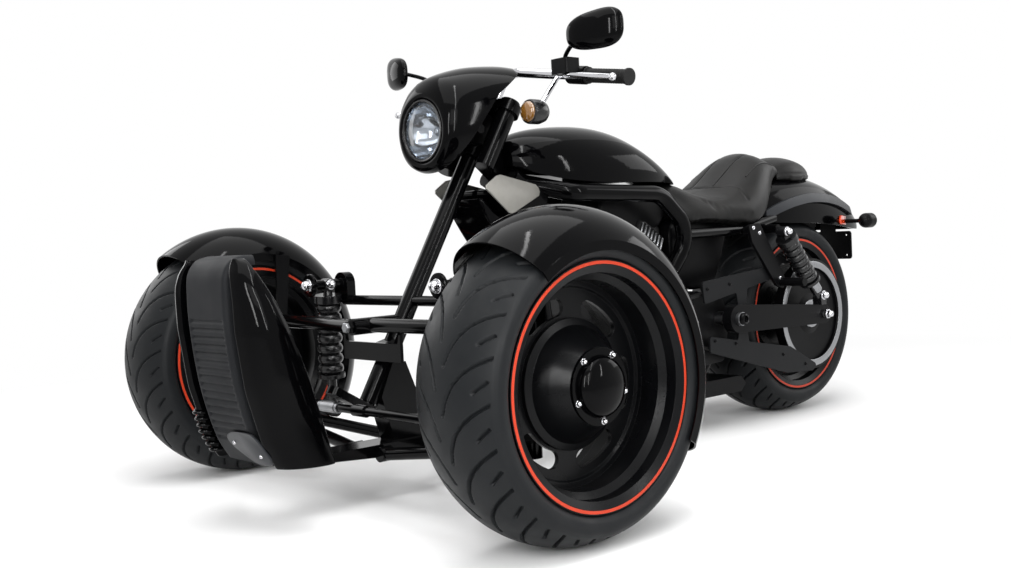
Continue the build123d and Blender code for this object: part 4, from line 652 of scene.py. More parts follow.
steps = PITCHES * STEPS_PER_PITCH
columns = len(section)
depth = np.zeros((steps, columns))
depth[:, :outer_count] = np.tile(tread_sink(), (PITCHES, 1))
angles = 2 * np.pi * np.arange(steps)[:, None] / steps
radii = section[None, :, 1] - depth
tyre_faces = row_faces(steps, columns, shut=False, ring=True)
# Node, body, wheel's middle X and Y
TYRES = [
    ("tyre_front_left", "wheel_left", 0.655, FRONT_AXLE_Y),
    ("tyre_front_right", "wheel_right", -0.655, FRONT_AXLE_Y),
    ("tyre_rear", "wheel_rear", 0.0, REAR_AXLE_Y),
]
for node_name, body, x, y in TYRES:
    outward = -1 if x < 0 else 1
    wide = np.broadcast_to(x + outward * section[None, :, 0], radii.shape)
    places = [wide, y - radii * np.cos(angles), TYRE_RADIUS + radii * np.sin(angles)]
    grid = np.stack(places, -1).reshape(-1, 3)
    tyre = add_mesh(f"{node_name}_tread", grid.tolist(), tyre_faces, tyre_rubber, body, "tyre", sharp=50)
    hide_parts(node_name)
print("tyre points", len(grid))

# %% [markdown]
# A thin orange-red line runs round the lip of every rim, on both faces.
# It is a sprayed stripe on the real wheel, so here it is a flat ring that stands half a millimetre proud.
# Each front hub has a deep glossy dome and a ring of polished nuts round it.

# %% Stripes and hub nuts
LIP = 0.111
STRIPE = [(-0.4, 238), (-0.4, 245), (0.5, 244.6), (0.5, 238.4)]
HUB_DOME = [(-4, 0), (-4, 62), (2, 62), (9, 60), (16, 54.5), (21, 46), (25, 33), (27.4, 17), (28, 0)]
CAP_FACE = 0.099
HUB_NUTS, NUT_CIRCLE, FIRST_NUT = 5, 0.0685, 58
for node_name, body, x, y in TYRES:
    middle = Vector((x, y, TYRE_RADIUS))
    stripes = [lathe(STRIPE, middle + Vector((side * LIP, 0, 0)), (side, 0, 0), 160) for side in SIDES]
    join(f"{body}_stripes", stripes, orange_stripe, body, "lamp_red")
    if body != "wheel_rear":
        out = Vector((-1 if x < 0 else 1, 0, 0))
        cap_face = middle + out * CAP_FACE
        turned(f"{body}_hub_dome", HUB_DOME, cap_face, out, gloss_paint, body, "gloss_black", 72)
        nuts = []
        for count in range(HUB_NUTS):
            angle = math.radians(360 / HUB_NUTS * count + FIRST_NUT)
            spot = cap_face + NUT_CIRCLE * Vector((0, math.cos(angle), math.sin(angle)))
            nuts.append(fastener(DOME_NUT, spot, out, 5.6))
        join(f"{body}_hub_nuts", nuts, polished, body, "bare_metal")
print("stripes on", len(TYRES), "wheels")

# %% [markdown]
# The front suspension shows polished bolts: one through each shock's upper eye, and one on the arms' pivot.
# Each shank starts inside the eye or tube that carries it, and the head ends where light finds it.

# %% Suspension hardware
SHOCK_X, SHOCK_BEHIND, SHOCK_Z = 267, 52, 519
EYE_AHEAD, EAR_LENGTH = 14, 0.044
EAR = [(0, 0), (0, 13), (34, 13), (34, 28), (36, 30), (42, 30), (44, 28), (44, 0)]
FORWARD = Vector((0, -1, 0))
shock_nuts, shock_ears = [], []
for side in SIDES:
    eye = place_at(side * SHOCK_X, SHOCK_BEHIND - EYE_AHEAD, SHOCK_Z)
    shock_ears.append(lathe(EAR, eye, FORWARD))
    shock_nuts.append(fastener(DOME_NUT, eye + FORWARD * EAR_LENGTH, FORWARD, 14, 36))
    for face in SIDES:
        spot = place_at(side * SHOCK_X + face * 16, SHOCK_BEHIND, SHOCK_Z)
        shock_nuts.append(fastener(DOME_NUT, spot, (face, 0, 0), 11))
join("shock_ear_plates", shock_ears, gloss_paint, "chassis", "gloss_black")
join("shock_nuts", shock_nuts, polished, "chassis", "bare_metal")
PIVOT_BOLT = [(-1, 0), (-1, 13), (7, 13), (9, 11), (9, 0)]
pivot_at = place_at(0, -72, 424)
turned("arm_pivot_bolt", PIVOT_BOLT, pivot_at, FORWARD, bare_alloy, "chassis", "bare_metal", 6)
# Sleeve with a lock nut at each end, round the tie rod
half_sleeve = [(29, 14), (29, 11.5), (32, 11.5), (32, 13), (40, 13), (40, 10)]
sleeve = [(-along, radius) for along, radius in reversed(half_sleeve)] + half_sleeve
turned("tie_rod_sleeve", sleeve, place_at(-30, -112, 238), (1, 0, 0), bare_alloy, "tie_rod", "bare_metal", 32)
print("shock nuts", len(shock_nuts))

# %% [markdown]
# The radiator shroud meets the eye first: a ribbed panel that rolls over at its top, between glossy scoops.
# The solids give its reach and lean, and the skins, which curve in two directions, are swept here.
# A side view gives the panel's line, and each scoop is a stack of closed sections that follow that line.

# %% Shroud skins
# Height, with the distance behind the front axle of the panel's face and of the scoops' rear edge
FACE_LINE = [(148, -355), (207, -387), (321, -419), (450, -436), (540, -438), (575, -433), (600, -420)]
REAR_LINE = [(148, -242), (269, -283), (392, -322), (505, -361), (580, -392), (604, -398)]
# Height, with half the width at the scoops' outer side and at their inner lip
OUTER_LINE = [
    (148, 188), (250, 199), (340, 203), (450, 194), (510, 180),
    (545, 166), (570, 153), (588, 138), (598, 126), (603, 114),
]
LIP_LINE = [(148, 122), (520, 122), (550, 117), (575, 106), (590, 98), (603, 96)]
SCOOP_ROWS = [148, 150, 158, *range(180, 511, 15), 530, 545, 558, 570, 580, 588, 594, 599, 603]
SCOOP_END = 0.97


def on_line(line, at):
    """Second value of a line of pairs where its first has a given value."""
    return float(np.interp(at, *np.array(line).T))


def scoop_section(height):
    """One level cut of the left scoop, as X and distance behind: inlet wall, rolled lip, side and back."""
    face, outer, lip = (on_line(line, height) for line in (FACE_LINE, OUTER_LINE, LIP_LINE))
    rear = max(on_line(REAR_LINE, height), face + 24)
    depth = rear - face
    reach = outer - lip - 10
    return [
        (94, face + min(40, 0.8 * depth)), (lip - 6, face + min(36, 0.7 * depth)), (lip, face + 7),
        (lip + 5, face - 3), (lip + 14, face - 2), (lip + 14 + 0.4 * reach, face + 0.1 * depth),
        (lip + 10 + 0.84 * reach, face + 0.36 * depth), (outer, face + 0.68 * depth),
        (outer - 2, face + 0.92 * depth), (outer - 12, rear), (lip + 10, rear), (96, rear - 0.1 * depth),
    ]


scoops = []
for side in SIDES:
    points = []
    for height in SCOOP_ROWS:
        draw_in = SCOOP_END if height in (SCOOP_ROWS[0], SCOOP_ROWS[-1]) else 1.0
        cut = [place_at(side * x, behind, height) for x, behind in scoop_section(height)]
        loop = smooth_path(cut, 6, loop=True)
        middle = sum(loop, Vector()) / len(loop)
        points += [middle + (point - middle) * draw_in for point in loop]
    scoops.append((points, row_faces(len(SCOOP_ROWS), len(loop))))
scoop_skins = join("shroud_scoops", scoops, gloss_paint, "chassis", "gloss_black")
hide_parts("shroud_sides")

# The panel's line runs up its face and rolls back over the top: distance behind the front axle, height
PANEL_ROLL = [
    (-355, 150), (-387, 207), (-419, 321), (-436, 450), (-438, 540),
    (-432, 576), (-414, 600), (-388, 609), (-362, 610),
]
PANEL_HALF, PANEL_EDGE, PANEL_DEPTH = 91, 13, 22
RIBS, RIB_DEPTH, RIBS_FROM, RIBS_TO, RIB_MARGIN, RIB_FADE = 19, 4.5, 196, 532, 16, 5
RIBS_BEHIND = -438
panel_line = smooth_path([place_at(0, behind, height) for behind, height in PANEL_ROLL], 44)
panel_across = np.linspace(-1, 1, 45)
panel_points = []
for row, point in enumerate(panel_line):
    way = (panel_line[min(row + 1, len(panel_line) - 1)] - panel_line[max(row - 1, 0)]).normalized()
    out = Vector((0, -way.z, way.y))
    climb = min(max((point.z / MM - RIBS_FROM) / (RIBS_TO - RIBS_FROM), 0), 1)
    wave = 0.5 - 0.5 * math.cos(2 * math.pi * RIBS * climb)
    ribbed = RIBS_BEHIND < (point.y - FRONT_AXLE_Y) / MM
    for share in panel_across:
        x = PANEL_HALF * share
        from_edge = PANEL_HALF - abs(x)
        turn_in = PANEL_EDGE - math.sqrt(max(PANEL_EDGE**2 - max(PANEL_EDGE - from_edge, 0) ** 2, 0))
        groove = RIB_DEPTH * wave**2 * min(max((from_edge - RIB_MARGIN) / RIB_FADE, 0), 1) if ribbed else 0
        panel_points.append(point + Vector((x * MM, 0, 0)) - out * (turn_in + groove) * MM)
    for side in SIDES:
        panel_points.append(point + Vector((side * PANEL_HALF * MM, 0, 0)) - out * PANEL_DEPTH * MM)
panel_faces = row_faces(len(panel_line), len(panel_across) + 2)
panel_skin = add_mesh(
    "shroud_ribbed_panel", panel_points, panel_faces, ribbed_black, "chassis", "radiator_black", sharp=60
)
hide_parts("shroud_center")


def on_front(x, height, proud):
    """A place ahead of the panel's face by millimetres."""
    return place_at(x, on_line(FACE_LINE, height) - proud, height)


LEAF = [
    (-15, 207), (6, 221), (44, 226), (89, 226), (111, 220), (131, 190),
    (131, 166), (103, 152), (58, 153), (23, 168), (-6, 187),
]
LEAF_SCREWS = [(14, 200), (104, 176)]
leaf_back = smooth_path([on_front(x, z, 2) for x, z in LEAF], 5, loop=True)
join("shroud_leaf_plate", [slab(leaf_back, (0, -0.008, 0.002), 0.05)], strut_grey, "chassis", "strut_grey")
leaf_screws = [fastener(SCREW, on_front(x, z, 9.5), (0, -1, 0.2), 4.5) for x, z in LEAF_SCREWS]
join("shroud_leaf_screws", leaf_screws, polished, "chassis", "bare_metal")
# X, and how far ahead of the panel's face each fin runs
FIN_RUN = [(-118, -10), (-124, 7), (-137, 8), (-158, -4), (-176, -22)]
fins = []
for height in range(166, 257, 15):
    fins.append(bar(smooth_path([on_front(x, height, proud) for x, proud in FIN_RUN], 5), 4.4 * MM, 10))
join("shroud_fins", fins, frame_coat, "chassis", "gloss_black")
print("shroud rows", len(SCOOP_ROWS), "panel rows", len(panel_line), "fins", len(fins))

# %% [markdown]
# Behind the column the frame is boxed in by a chin cover, an airbox and a battery cover.
# Each has a side outline and rounded flanks, so one function pushes an outline to both sides.
# A flat strap with turned-up ends crosses the column's foot, and the lower beam thins towards its nose.

# %% Moulded covers
def moulded(outline, half, round_off=10):
    """A cover: a side outline of distance behind the axle and height, rounded towards each flank."""
    loop = smooth_path([place_at(0, behind, height) for behind, height in outline], 5, loop=True)
    middle = sum(loop, Vector()) / len(loop)
    size = max((point - middle).length for point in loop)
    # Share of the rounding that each row lies in from the flank, and that its outline is drawn in
    flank = [(0, 1.6), (0.15, 0.8), (0.6, 0.2), (1.4, 0)]
    rows = [(half - inward * round_off, drawn * round_off) for inward, drawn in flank]
    rows += [(-x, drawn) for x, drawn in reversed(rows)]
    points = []
    for x, drawn in rows:
        share = 1 - drawn * MM / size
        points += [middle + (point - middle) * share + Vector((x * MM, 0, 0)) for point in loop]
    return points, row_faces(len(rows), len(loop))


NOSE_FROM, NOSE_BACK, NOSE_UNDERSIDE = FRONT_AXLE_Y - 0.2, 0.06, 0.126
beam_mesh = nodes["front_beam"].data.copy()
beam_mesh.name = "front_beam_tapered"
for corner in beam_mesh.vertices:
    if corner.co.y < NOSE_FROM:
        corner.co.y += NOSE_BACK
        corner.co.z = max(corner.co.z, NOSE_UNDERSIDE)
beam = add_object("front_beam_tapered", beam_mesh)
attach(beam, "chassis")
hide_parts("front_beam")
CHIN = [(310, 722), (364, 676), (440, 704), (449, 690), (474, 568), (455, 550), (392, 584), (324, 676)]
join("chin_cover", [moulded(CHIN, 70, 6)], gloss_paint, "chassis", "gloss_black")
AIRBOX = [(730, 650), (742, 724), (830, 746), (970, 742), (1010, 690), (985, 634), (900, 616), (800, 620)]
BATTERY = [
    (1030, 470), (1012, 560), (1024, 636), (1100, 652), (1250, 648),
    (1282, 610), (1256, 530), (1210, 452), (1110, 436),
]
covers = [moulded(AIRBOX, 82), moulded(BATTERY, 92)]
join("airbox_and_battery_cover", covers, satin_coat, "chassis", "satin_black")
# X and height
STRAP = [(-118, 404), (-118, 338), (118, 338), (118, 404), (112, 404), (106, 382), (-106, 382), (-112, 404)]
STRAP_BLOCK = [(-20, 344), (20, 344), (20, 374), (-20, 374)]
STRAP_FRONT = -6
strap_outline = [place_at(x, STRAP_FRONT, z) for x, z in STRAP]
strap_block = [place_at(x, STRAP_FRONT + 6, z) for x, z in STRAP_BLOCK]
strap_parts = [slab(strap_outline, (0, 0.008, 0)), slab(strap_block, (0, 0.05, 0.012))]
join("column_strap", strap_parts, frame_coat, "chassis", "satin_black")
print("covers", len(covers) + 1)

# %% [markdown]
# Below the tank each intake carries a pale mesh panel.
# The panel is a flat plate with rounded corners, set on the intake's outer face and a little larger than it.

# %% Intake panels
INTAKE_X = 100
INTAKE_CORNERS = [(290, 749), (339, 782), (476, 753), (486, 728), (377, 677)]


def cut_corners(corners, cut):
    """Each corner of an outline swapped for two points a little way along its sides."""
    rounded = []
    for number, (y, z) in enumerate(corners):
        for other_y, other_z in (corners[number - 1], corners[(number + 1) % len(corners)]):
            share = cut / math.hypot(other_y - y, other_z - z)
            rounded.append((y + share * (other_y - y), z + share * (other_z - z)))
    return rounded


panels = []
for side in SIDES:
    outline = [place_at(side * INTAKE_X, y, z) for y, z in cut_corners(INTAKE_CORNERS, 8)]
    panels.append(slab(outline, (side * 0.0045, 0, 0), 0.02))
join("intake_panels", panels, brushed_panel, "chassis", "bare_metal")
print("intake panels", len(panels))

# %% [markdown]
# The headlamp cowl is a thin shell of oval cuts, ended behind on a slant, with a rolled lip round the lamp.
# Each line runs from lip to slant, so the shell's rear edge follows the slant without ragged faces.
# Inside it sit a black can, a bright bowl, a shield before the bulb and a clear lens.

# %% Cowl and lamp
# Distance behind the front axle, half width, lower edge, top
COWL_ROWS = [
    (184, 100, 797, 998), (216, 119, 789, 1031), (300, 134, 798, 1058),
    (400, 142, 836, 1069), (470, 140, 868, 1066),
]
# Height and distance behind the front axle of the slant that ends the shell
SLANT = [(780, 197), (838, 226), (914, 276), (978, 326), (1072, 474)]
# Distance behind the front axle and radius of the rolled lip
COWL_LIP = [(204, 78), (188, 78.5), (182, 81), (179.5, 86), (180, 92), (182.5, 97)]
COWL_STEPS, COWL_FRONT, COWL_INSIDE, COWL_WALL = 96, 187, 206, 5
COWL_POWER = 2 / 2.2
LAMP_Z = 897
lower_run = smooth_path([Vector((behind, half, low)) for behind, half, low, _ in COWL_ROWS], 12)
upper_run = smooth_path([Vector((behind, high, 0)) for behind, _, _, high in COWL_ROWS], 12)
cowl_run = np.array([(*below, above.y) for below, above in zip(lower_run, upper_run)])


def oval(angle, power):
    """X and Y of a squared-off circle of radius 1."""
    return [math.copysign(abs(value) ** power, value) for value in (math.cos(angle), math.sin(angle))]


def cowl_place(behind, angle, inset):
    """A place on the cowl at a distance behind the axle and an angle round it."""
    half, low, high = (float(np.interp(behind, cowl_run[:, 0], cowl_run[:, column])) for column in (1, 2, 3))
    wide, tall = oval(angle, COWL_POWER)
    return place_at((half - inset) * wide, behind, (low + high) / 2 + ((high - low) / 2 - inset) * tall)


cowl_points = []
for step in range(COWL_STEPS):
    angle = 2 * math.pi * step / COWL_STEPS
    tries = np.linspace(196, 470, 275)
    past = [behind for behind in tries if behind >= on_line(SLANT, cowl_place(behind, angle, 0).z / MM)]
    end = float(past[0]) if past else 470.0
    for behind, radius in COWL_LIP:
        cowl_points.append(place_at(radius * math.cos(angle), behind, LAMP_Z + radius * math.sin(angle)))
    for share in np.linspace(0, 1, 22):
        cowl_points.append(cowl_place(COWL_FRONT + (end - COWL_FRONT) * share, angle, 0))
    for share in np.linspace(1, 0, 10):
        cowl_points.append(cowl_place(COWL_INSIDE + max(end - 1 - COWL_INSIDE, 2) * share, angle, COWL_WALL))
cowl_faces = row_faces(COWL_STEPS, len(cowl_points) // COWL_STEPS, shut=False, ring=True)
cowl = add_mesh("headlamp_cowl", cowl_points, cowl_faces, gloss_paint, "steering", "gloss_black", sharp=50)
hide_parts("fairing")
LAMP = place_at(0, 186, LAMP_Z)
BACK = (0, 1, 0)
CAN = [(106, 0), (106, 34), (80, 62), (30, 77.7), (0, 77.7), (0, 76), (28, 73), (78, 56), (100, 30), (100, 0)]
BRACKET = [(272, 880), (290, 926), (350, 944), (394, 930), (390, 884), (340, 862)]
cross_bar = bar([place_at(-90, 300, LAMP_Z), place_at(90, 300, LAMP_Z)], 12 * MM)
lamp_parts = [lathe(CAN, LAMP, BACK, 72), moulded(BRACKET, 40, 6), cross_bar]
join("headlamp_can", lamp_parts, satin_coat, "steering", "satin_black")
BOWL = [
    (79, 0), (79, 14), (64, 40), (49, 54), (30, 66), (14, 74), (4, 76),
    (4, 73), (14, 70), (30, 62), (48, 50), (62, 36), (72, 22), (76, 12), (76, 0),
]
lamp_bowl = turned("headlamp_bowl", BOWL, LAMP, BACK, lamp_chrome, "steering", "lamp_reflector", 96)
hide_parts("headlamp")
SHIELD = [(2, 0), (2, 9), (-10, 12), (-26, 13), (-34, 10), (-38, 5), (-39, 0)]
shield_at = LAMP + Vector((0, 0.077, 0))
turned("headlamp_bulb_shield", SHIELD, shield_at, BACK, lamp_chrome, "steering", "lamp_reflector")
LENS = [(-4, 0), (-3.6, 25), (-2.2, 50), (1, 71.6), (4, 71.6), (3.4, 69), (0.6, 50), (-0.6, 25), (-1, 0)]
lamp_lens = turned("headlamp_glass", LENS, LAMP, BACK, lens_glass, "steering", "lamp_glass", 96)
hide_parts("headlamp_lens")
RING = [(-3, 71.5), (-6, 73), (-7, 76), (-5, 78.4), (2, 78.4), (2, 71.5)]
turned("headlamp_ring", RING, LAMP, BACK, spring_black, "steering", "gloss_black", 96)
print("cowl points", len(cowl_points))

# %% [markdown]
# The front signals are bullets hung from the bar on bright stalks; the rear ones need only lenses.
# The mirrors are deep shells with glass on the rider's side, each turned a little inward on a bent stem.
# Levers are polished, with a ball at the end.

# %% Signals, mirrors and levers
BULLET = [(-30, 0), (-29, 8), (-25, 17), (-15, 26), (0, 31), (27, 31), (32, 29.5), (34, 26), (34, 0)]
bullets = [lathe(BULLET, spot, FORWARD) for spot in both_sides(200, 396, 930)]
signal_bodies = join("front_signal_bodies", bullets, spring_black, "steering", "signal_black")
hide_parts("front_signals")
stalks = [bar(ends, 7 * MM) for ends in zip(both_sides(200, 404, 944), both_sides(200, 472, 1022))]
join("front_signal_stalks", stalks, polished, "steering", "bare_metal")
SIGNAL_LENS = [(-3, 0), (-3, 20), (0, 21), (3, 20), (7, 15), (9.5, 8), (10, 0)]
for name, spots, way, size, finish, body in [
    ("front_signal_lenses", both_sides(200, 362, 930), FORWARD, 1.22, smoke_lens, "steering"),
    ("rear_signal_lenses", both_sides(200, 1939, 618), BACK, 1.0, amber_lens, "chassis"),
]:
    profile = [(along * size, radius * size) for along, radius in SIGNAL_LENS]
    join(name, [lathe(profile, spot, way) for spot in spots], finish, body, "lamp_red")
# Distance behind the front axle and height; the skin leans in towards the tail
TAIL_LENS = [(1850, 610), (1848, 626), (1856, 640), (1928, 634), (1934, 620), (1928, 604)]
TAIL_X, TAIL_LEAN = 132, 0.3
tail_lenses = []
tail_corners = [(TAIL_X - TAIL_LEAN * (y - TAIL_LENS[0][0]), y, z) for y, z in cut_corners(TAIL_LENS, 6)]
for side in SIDES:
    skin = [place_at(side * x, y, z) for x, y, z in tail_corners]
    tail_lenses.append(slab(skin, (side * 0.007, 0, 0), 0.06))
tail_lens = join("tail_side_lenses", tail_lenses, red_lens, "chassis", "lamp_red")
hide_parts("tail_lamp")
MIRROR_TURN = math.radians(20)
MIRROR_STEPS = 64
MIRROR_HALF_WIDTH, MIRROR_HALF_HEIGHT, MIRROR_SLOPE = 0.074, 0.046, 0.006
# Size as a share, and millimetres ahead of the glass
MIRROR_ROWS = [
    (0.94, 1), (0.97, 0), (1, 3), (1, 8), (0.97, 13),
    (0.9, 18), (0.78, 23), (0.6, 27), (0.36, 30), (0.1, 31.5),
]
MIRROR_STEM = [(262, 440, 1046), (266, 436, 1062), (300, 424, 1082), (372, 396, 1106)]


def mirror_back(side):
    """The way a mirror's glass faces."""
    return Vector((-side * math.sin(MIRROR_TURN), math.cos(MIRROR_TURN), 0))


def mirror_loop(side, size, forward):
    """One oval of a mirror: its size as a share, and how far ahead of the glass it lies in millimetres."""
    across_way = Vector((side * math.cos(MIRROR_TURN), math.sin(MIRROR_TURN), 0))
    middle = place_at(side * 389, 418, 1105) - mirror_back(side) * forward * MM
    loop = []
    for step in range(MIRROR_STEPS):
        wide, tall = oval(2 * math.pi * step / MIRROR_STEPS, 0.72)
        tall *= 1 + 0.12 * wide
        height = tall * MIRROR_HALF_HEIGHT + wide * MIRROR_SLOPE
        loop.append(middle + size * (across_way * wide * MIRROR_HALF_WIDTH + Vector((0, 0, height))))
    return loop


LEVER = [(262, 436, 1015), (282, 428, 1013), (302, 425, 1010), (350, 426, 1002), (424, 430, 990)]
LEVER_BALL = [(-9, 0), (-8, 5), (-5, 8.4), (0, 10), (5, 8.4), (8, 5), (9.6, 0)]
GRIP_RIB = [(-1.6, 16.2), (-0.8, 17.9), (0.8, 17.9), (1.6, 16.2)]
shells, glasses, levers, grip_ribs = [], [], [], []
for side in SIDES:
    shell_points = [point for size, forward in MIRROR_ROWS for point in mirror_loop(side, size, forward)]
    shells.append((shell_points, row_faces(len(MIRROR_ROWS), MIRROR_STEPS)))
    shells.append(bar(smooth_path([place_at(side * x, y, z) for x, y, z in MIRROR_STEM], 8), 5.5 * MM, 14))
    glasses.append(slab(mirror_loop(side, 0.92, 1.5), mirror_back(side) * 0.0025, 0.015))
    path = smooth_path([place_at(side * x, y, z) for x, y, z in LEVER], 6)
    radii = [6.6 * MM + 1.6 * MM * math.sin(math.pi * step / len(path)) for step in range(len(path))]
    levers.append(bar(path, radii, 14))
    way = (path[-1] - path[-3]).normalized()
    levers.append(lathe(LEVER_BALL, path[-1] + way * 0.002, way, 24))
    start, end = place_at(side * 304, 479, 1011.6), place_at(side * 424, 480, 993)
    way = (end - start).normalized()
    grip_ribs += [lathe(GRIP_RIB, start + way * (0.006 + 0.0085 * count), way, 32) for count in range(14)]
mirror_shells = join("mirror_shells", shells, gloss_paint, "steering", "gloss_black")
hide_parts("mirrors")
join("mirror_glasses", glasses, mirror_glass, "steering", "lamp_reflector")
join("polished_levers", levers, polished, "steering", "bare_metal")
join("grip_ribs", grip_ribs, rubber, "steering", "rubber_black")
print("grip ribs", len(grip_ribs))

# %% [markdown]
# At the back, the pulley has a bright edge, the shocks have polished eyes and pale sleeves, the axle has nuts.
# Engine covers carry bright fins and screws that show between the frame rail and the front fender.

# %% Rear hardware and engine trim
REAR_HUB = Vector((0, REAR_AXLE_Y, TYRE_RADIUS))
LEFT = Vector((1, 0, 0))
PULLEY_EDGE = [(0, 150), (0, 170.5), (1.6, 170.5), (2.4, 168), (2.4, 152), (1.6, 150)]
edge_at = REAR_HUB + LEFT * 0.1608
turned("pulley_bright_edge", PULLEY_EDGE, edge_at, LEFT, bare_alloy, "wheel_rear", "bare_metal", 96)
HUB_PLATE = [(0, 14), (0, 44), (2, 46), (5, 44), (6, 40), (6, 14)]
plate_at = REAR_HUB + LEFT * 0.1535
turned("pulley_hub_plate", HUB_PLATE, plate_at, LEFT, bare_alloy, "wheel_rear", "bare_metal", 64)
REAR_SLEEVE = [(0, 12.2), (0, 17), (2, 18), (48, 18), (50, 17), (50, 12.2)]
rear_nuts, rear_sleeves = [], []
for side, top, foot in zip(SIDES, both_sides(204, 1418, 596), both_sides(204, 1606, 386)):
    for eye in (top, foot):
        rear_nuts.append(fastener(DOME_NUT, eye + LEFT * side * 0.016, (side, 0, 0), 12, 36))
    way = (foot - top).normalized()
    rear_sleeves.append(lathe(REAR_SLEEVE, foot - way * 0.072, way, 40))
    rear_nuts.append(fastener(DOME_NUT, REAR_HUB + LEFT * side * 0.2175, (side, 0, 0), 13, 6))
join("rear_nuts", rear_nuts, polished, "chassis", "bare_metal")
join("rear_shock_sleeves", rear_sleeves, bare_alloy, "chassis", "bare_metal")
# Distance behind the front axle and height
SUBFRAME_SCREWS = [(1290, 612), (1320, 596), (1420, 452)]
GUARD_SCREWS = [(1074, 440), (1180, 448), (1370, 476), (1100, 285), (1200, 268), (1440, 210), (1560, 168)]
# Side, half width at the face of the engine cover, radius of its ring of screws
COVERS = [(1, 140, 0.97 * 98), (-1, 144, 0.97 * 104)]
COVER_BEHIND, COVER_Z, COVER_SCREWS = 760, 350, 8
screws, dark_screws = [], []
for side in SIDES:
    screws += [fastener(SCREW, place_at(side * 186, y, z), (side, 0, 0), 6.5) for y, z in SUBFRAME_SCREWS]
    dark_screws.append(fastener(SCREW, place_at(side * 218, 1180, 345), (side, 0, 0), 18, 36))
dark_screws += [fastener(SCREW, place_at(173.7, y, z), LEFT, 5) for y, z in GUARD_SCREWS]
join("dark_screws", dark_screws, frame_coat, "chassis", "satin_black")
for side, x, radius in COVERS:
    for count in range(COVER_SCREWS):
        angle = math.radians(360 / COVER_SCREWS * count + 22)
        spot = place_at(side * x, COVER_BEHIND + radius * math.cos(angle), COVER_Z + radius * math.sin(angle))
        screws.append(fastener(SCREW, spot, (side, 0, 0), 5.5))
join("trim_screws", screws, polished, "chassis", "bare_metal")
CRANK = place_at(0, 800, 380)
BANK_TILT = 30
FIN_SPACING = 0.016
fin_radii = [3 * MM, 4.4 * MM, 4.4 * MM, 3 * MM]
bright_fins = []
for lean in SIDES:
    tilt = math.radians(BANK_TILT * lean)
    up_bank = Vector((0, math.sin(tilt), math.cos(tilt)))
    along_bank = Vector((0, math.cos(tilt), -math.sin(tilt)))
    for side in SIDES:
        for count in range(-3, 4):
            foot = CRANK + along_bank * count * FIN_SPACING
            low = foot + up_bank * 0.222 + LEFT * side * 0.0975
            high = foot + up_bank * 0.276 + LEFT * side * 0.0915
            bright_fins.append(bar([low.lerp(high, share) for share in (0, 0.1, 0.9, 1)], fin_radii, 10))
join("engine_bright_fins", bright_fins, bare_alloy, "chassis", "bare_metal")
print("trim screws", len(screws), "engine fins", len(bright_fins))

# %% [markdown]
# The seat and the pillion pad are leather over foam.
# Their solids are boxed and crisp, so each is copied, remeshed to an even skin and inflated as cloth.
# A cap keeps the skin near the foam; then sewn lines are pressed in and piping is laid along them.

# %% Soft seat and pad
VOXEL = 0.005
RELAX_FACTOR, RELAX_STEPS = 0.5, 14
CLOTH_FRAMES, CLOTH_QUALITY, FOAM_PRESSURE = 16, 4, 4
SWELL_CAP = 0.006


def bake(piece, name):
    """Replace a piece's mesh by what its modifiers give."""
    shape = piece.evaluated_get(bpy.context.evaluated_depsgraph_get())
    mesh = bpy.data.meshes.new_from_object(shape)
    mesh.name = name
    piece.modifiers.clear()
    piece.data = mesh
    return piece


def soft_copy(node_name, name):
    """Even skin over a solid's shape, a little smaller than it."""
    mesh = nodes[node_name].data.copy()
    mesh.name = name
    piece = add_object(name, mesh)
    remesh = piece.modifiers.new("even_skin", "REMESH")
    remesh.mode = "VOXEL"
    remesh.voxel_size = VOXEL
    relax = piece.modifiers.new("relax", "SMOOTH")
    relax.factor = RELAX_FACTOR
    relax.iterations = RELAX_STEPS
    return bake(piece, name)


def read_points(mesh, what="co"):
    """Places or normals of a mesh's points as an array."""
    values = np.empty(len(mesh.vertices) * 3)
    mesh.vertices.foreach_get(what, values)
    return values.reshape(-1, 3)


def move_points(mesh, places):
    """Put a mesh's points at new places."""
    mesh.vertices.foreach_set("co", places.ravel())
    mesh.update()


def swell(piece, name):
    """Inflate a skin as cloth, and keep each point near where it was."""
    before = read_points(piece.data)
    cloth = piece.modifiers.new("foam_pressure", "CLOTH")
    cloth.settings.quality = CLOTH_QUALITY
    cloth.settings.use_pressure = True
    cloth.settings.uniform_pressure_force = FOAM_PRESSURE
    cloth.settings.effector_weights.gravity = 0
    cloth.collision_settings.use_collision = False
    for step in range(1, CLOTH_FRAMES + 1):
        bpy.context.scene.frame_set(step)
    bake(piece, name)
    bpy.context.scene.frame_set(1)
    moved = read_points(piece.data) - before
    far = np.linalg.norm(moved, axis=1, keepdims=True)
    move_points(piece.data, before + moved * np.minimum(1, SWELL_CAP / np.maximum(far, 1e-9)))


def press_line(piece, distance_of, depth, half_width=0.004):
    """Press a sewn line into a skin: distance_of gives each point's distance from the line."""
    points = read_points(piece.data)
    normals = read_points(piece.data, "normal")
    sunk = depth * np.exp(-((distance_of(points) / half_width) ** 2))
    move_points(piece.data, points - normals * sunk[:, None])


def finish_soft(piece, node_name):
    """Leather, smooth shading and a place on the chassis; the solid it replaces is hidden."""
    piece.data.materials.clear()
    piece.data.materials.append(leather)
    piece.data.polygons.foreach_set("use_smooth", [True] * len(piece.data.polygons))
    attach(piece, "chassis")
    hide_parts(node_name)


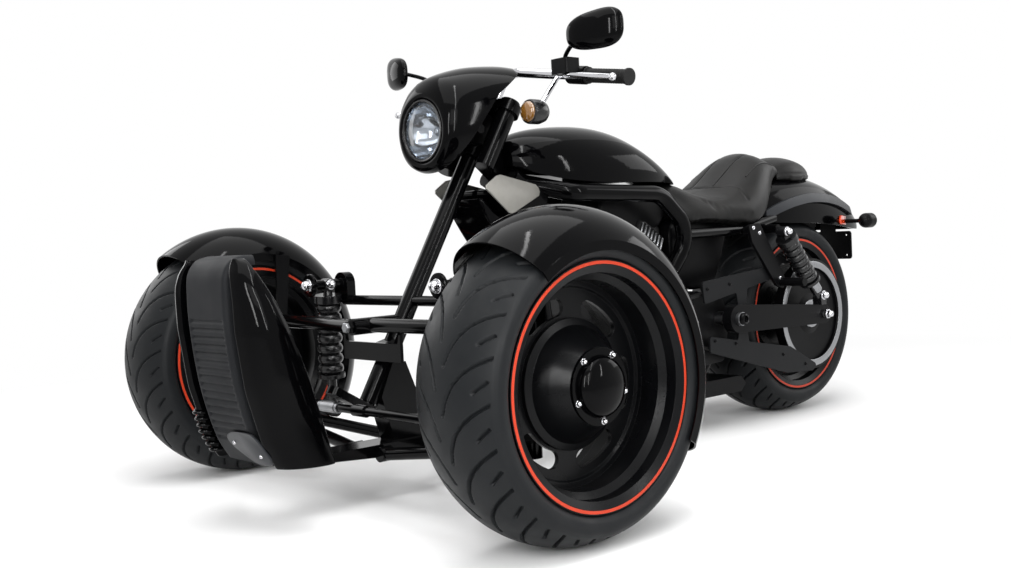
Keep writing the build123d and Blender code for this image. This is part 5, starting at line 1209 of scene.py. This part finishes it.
def behind_axle(points):
    """Distance behind the front axle in millimetres."""
    return (points[:, 1] - FRONT_AXLE_Y) / MM


def lay_on(piece, places, proud=0.0004):
    """Points on a skin below given X and distance-behind places, lifted by metres."""
    tree = BVHTree.FromObject(piece, bpy.context.evaluated_depsgraph_get())
    found = []
    for x, behind in places:
        spot, normal, _, _ = tree.ray_cast(place_at(x, behind, 1200), Vector((0, 0, -1)))
        if spot is not None:
            found.append(spot + normal * proud)
    return found


seat = soft_copy("seat", "seat_leather")
pad = soft_copy("pillion_pad", "pillion_leather")
swell(seat, "seat_leather")
swell(pad, "pillion_leather")
SEAM_X, SEAM_FROM = 40, 1276
SEAT_TOP = 0.7
PAD_SEAM_Z = 0.782
DIP_LINE = [(-118, 1320), (-70, 1288), (-30, 1276), (0, 1273), (30, 1276), (70, 1288), (118, 1320)]


def panel_seams(points):
    """Distance from the two seams that climb the hump."""
    off = np.abs(np.abs(points[:, 0]) - SEAM_X * MM)
    return np.where(behind_axle(points) > SEAM_FROM, off, 1.0)


def dip_seam(points):
    """Distance from the curved seam across the dip, on top only."""
    line = np.interp(points[:, 0] / MM, *np.array(DIP_LINE).T)
    return np.where(points[:, 2] > SEAT_TOP, np.abs(behind_axle(points) - line) * MM, 1.0)


press_line(seat, panel_seams, 0.003)
press_line(seat, dip_seam, 0.003)
finish_soft(seat, "seat")
press_line(pad, lambda points: np.abs(points[:, 2] - PAD_SEAM_Z), 0.002)
finish_soft(pad, "pillion_pad")
piping = [bar(smooth_path(lay_on(seat, DIP_LINE), 6), 1.7 * MM, 8)]
for side in SIDES:
    seam = [(side * SEAM_X, behind) for behind in range(1290, 1540, 8)]
    piping.append(bar(lay_on(seat, seam), 1.7 * MM, 8))
    edge = [(side * (108 - 0.11 * (behind - 1370)), behind) for behind in range(1370, 1540, 8)]
    piping.append(bar(lay_on(seat, edge), 2.2 * MM, 8))
join("seat_piping", piping, leather, "chassis", "leather_black")
print("seat points", len(seat.data.vertices), "pad points", len(pad.data.vertices))
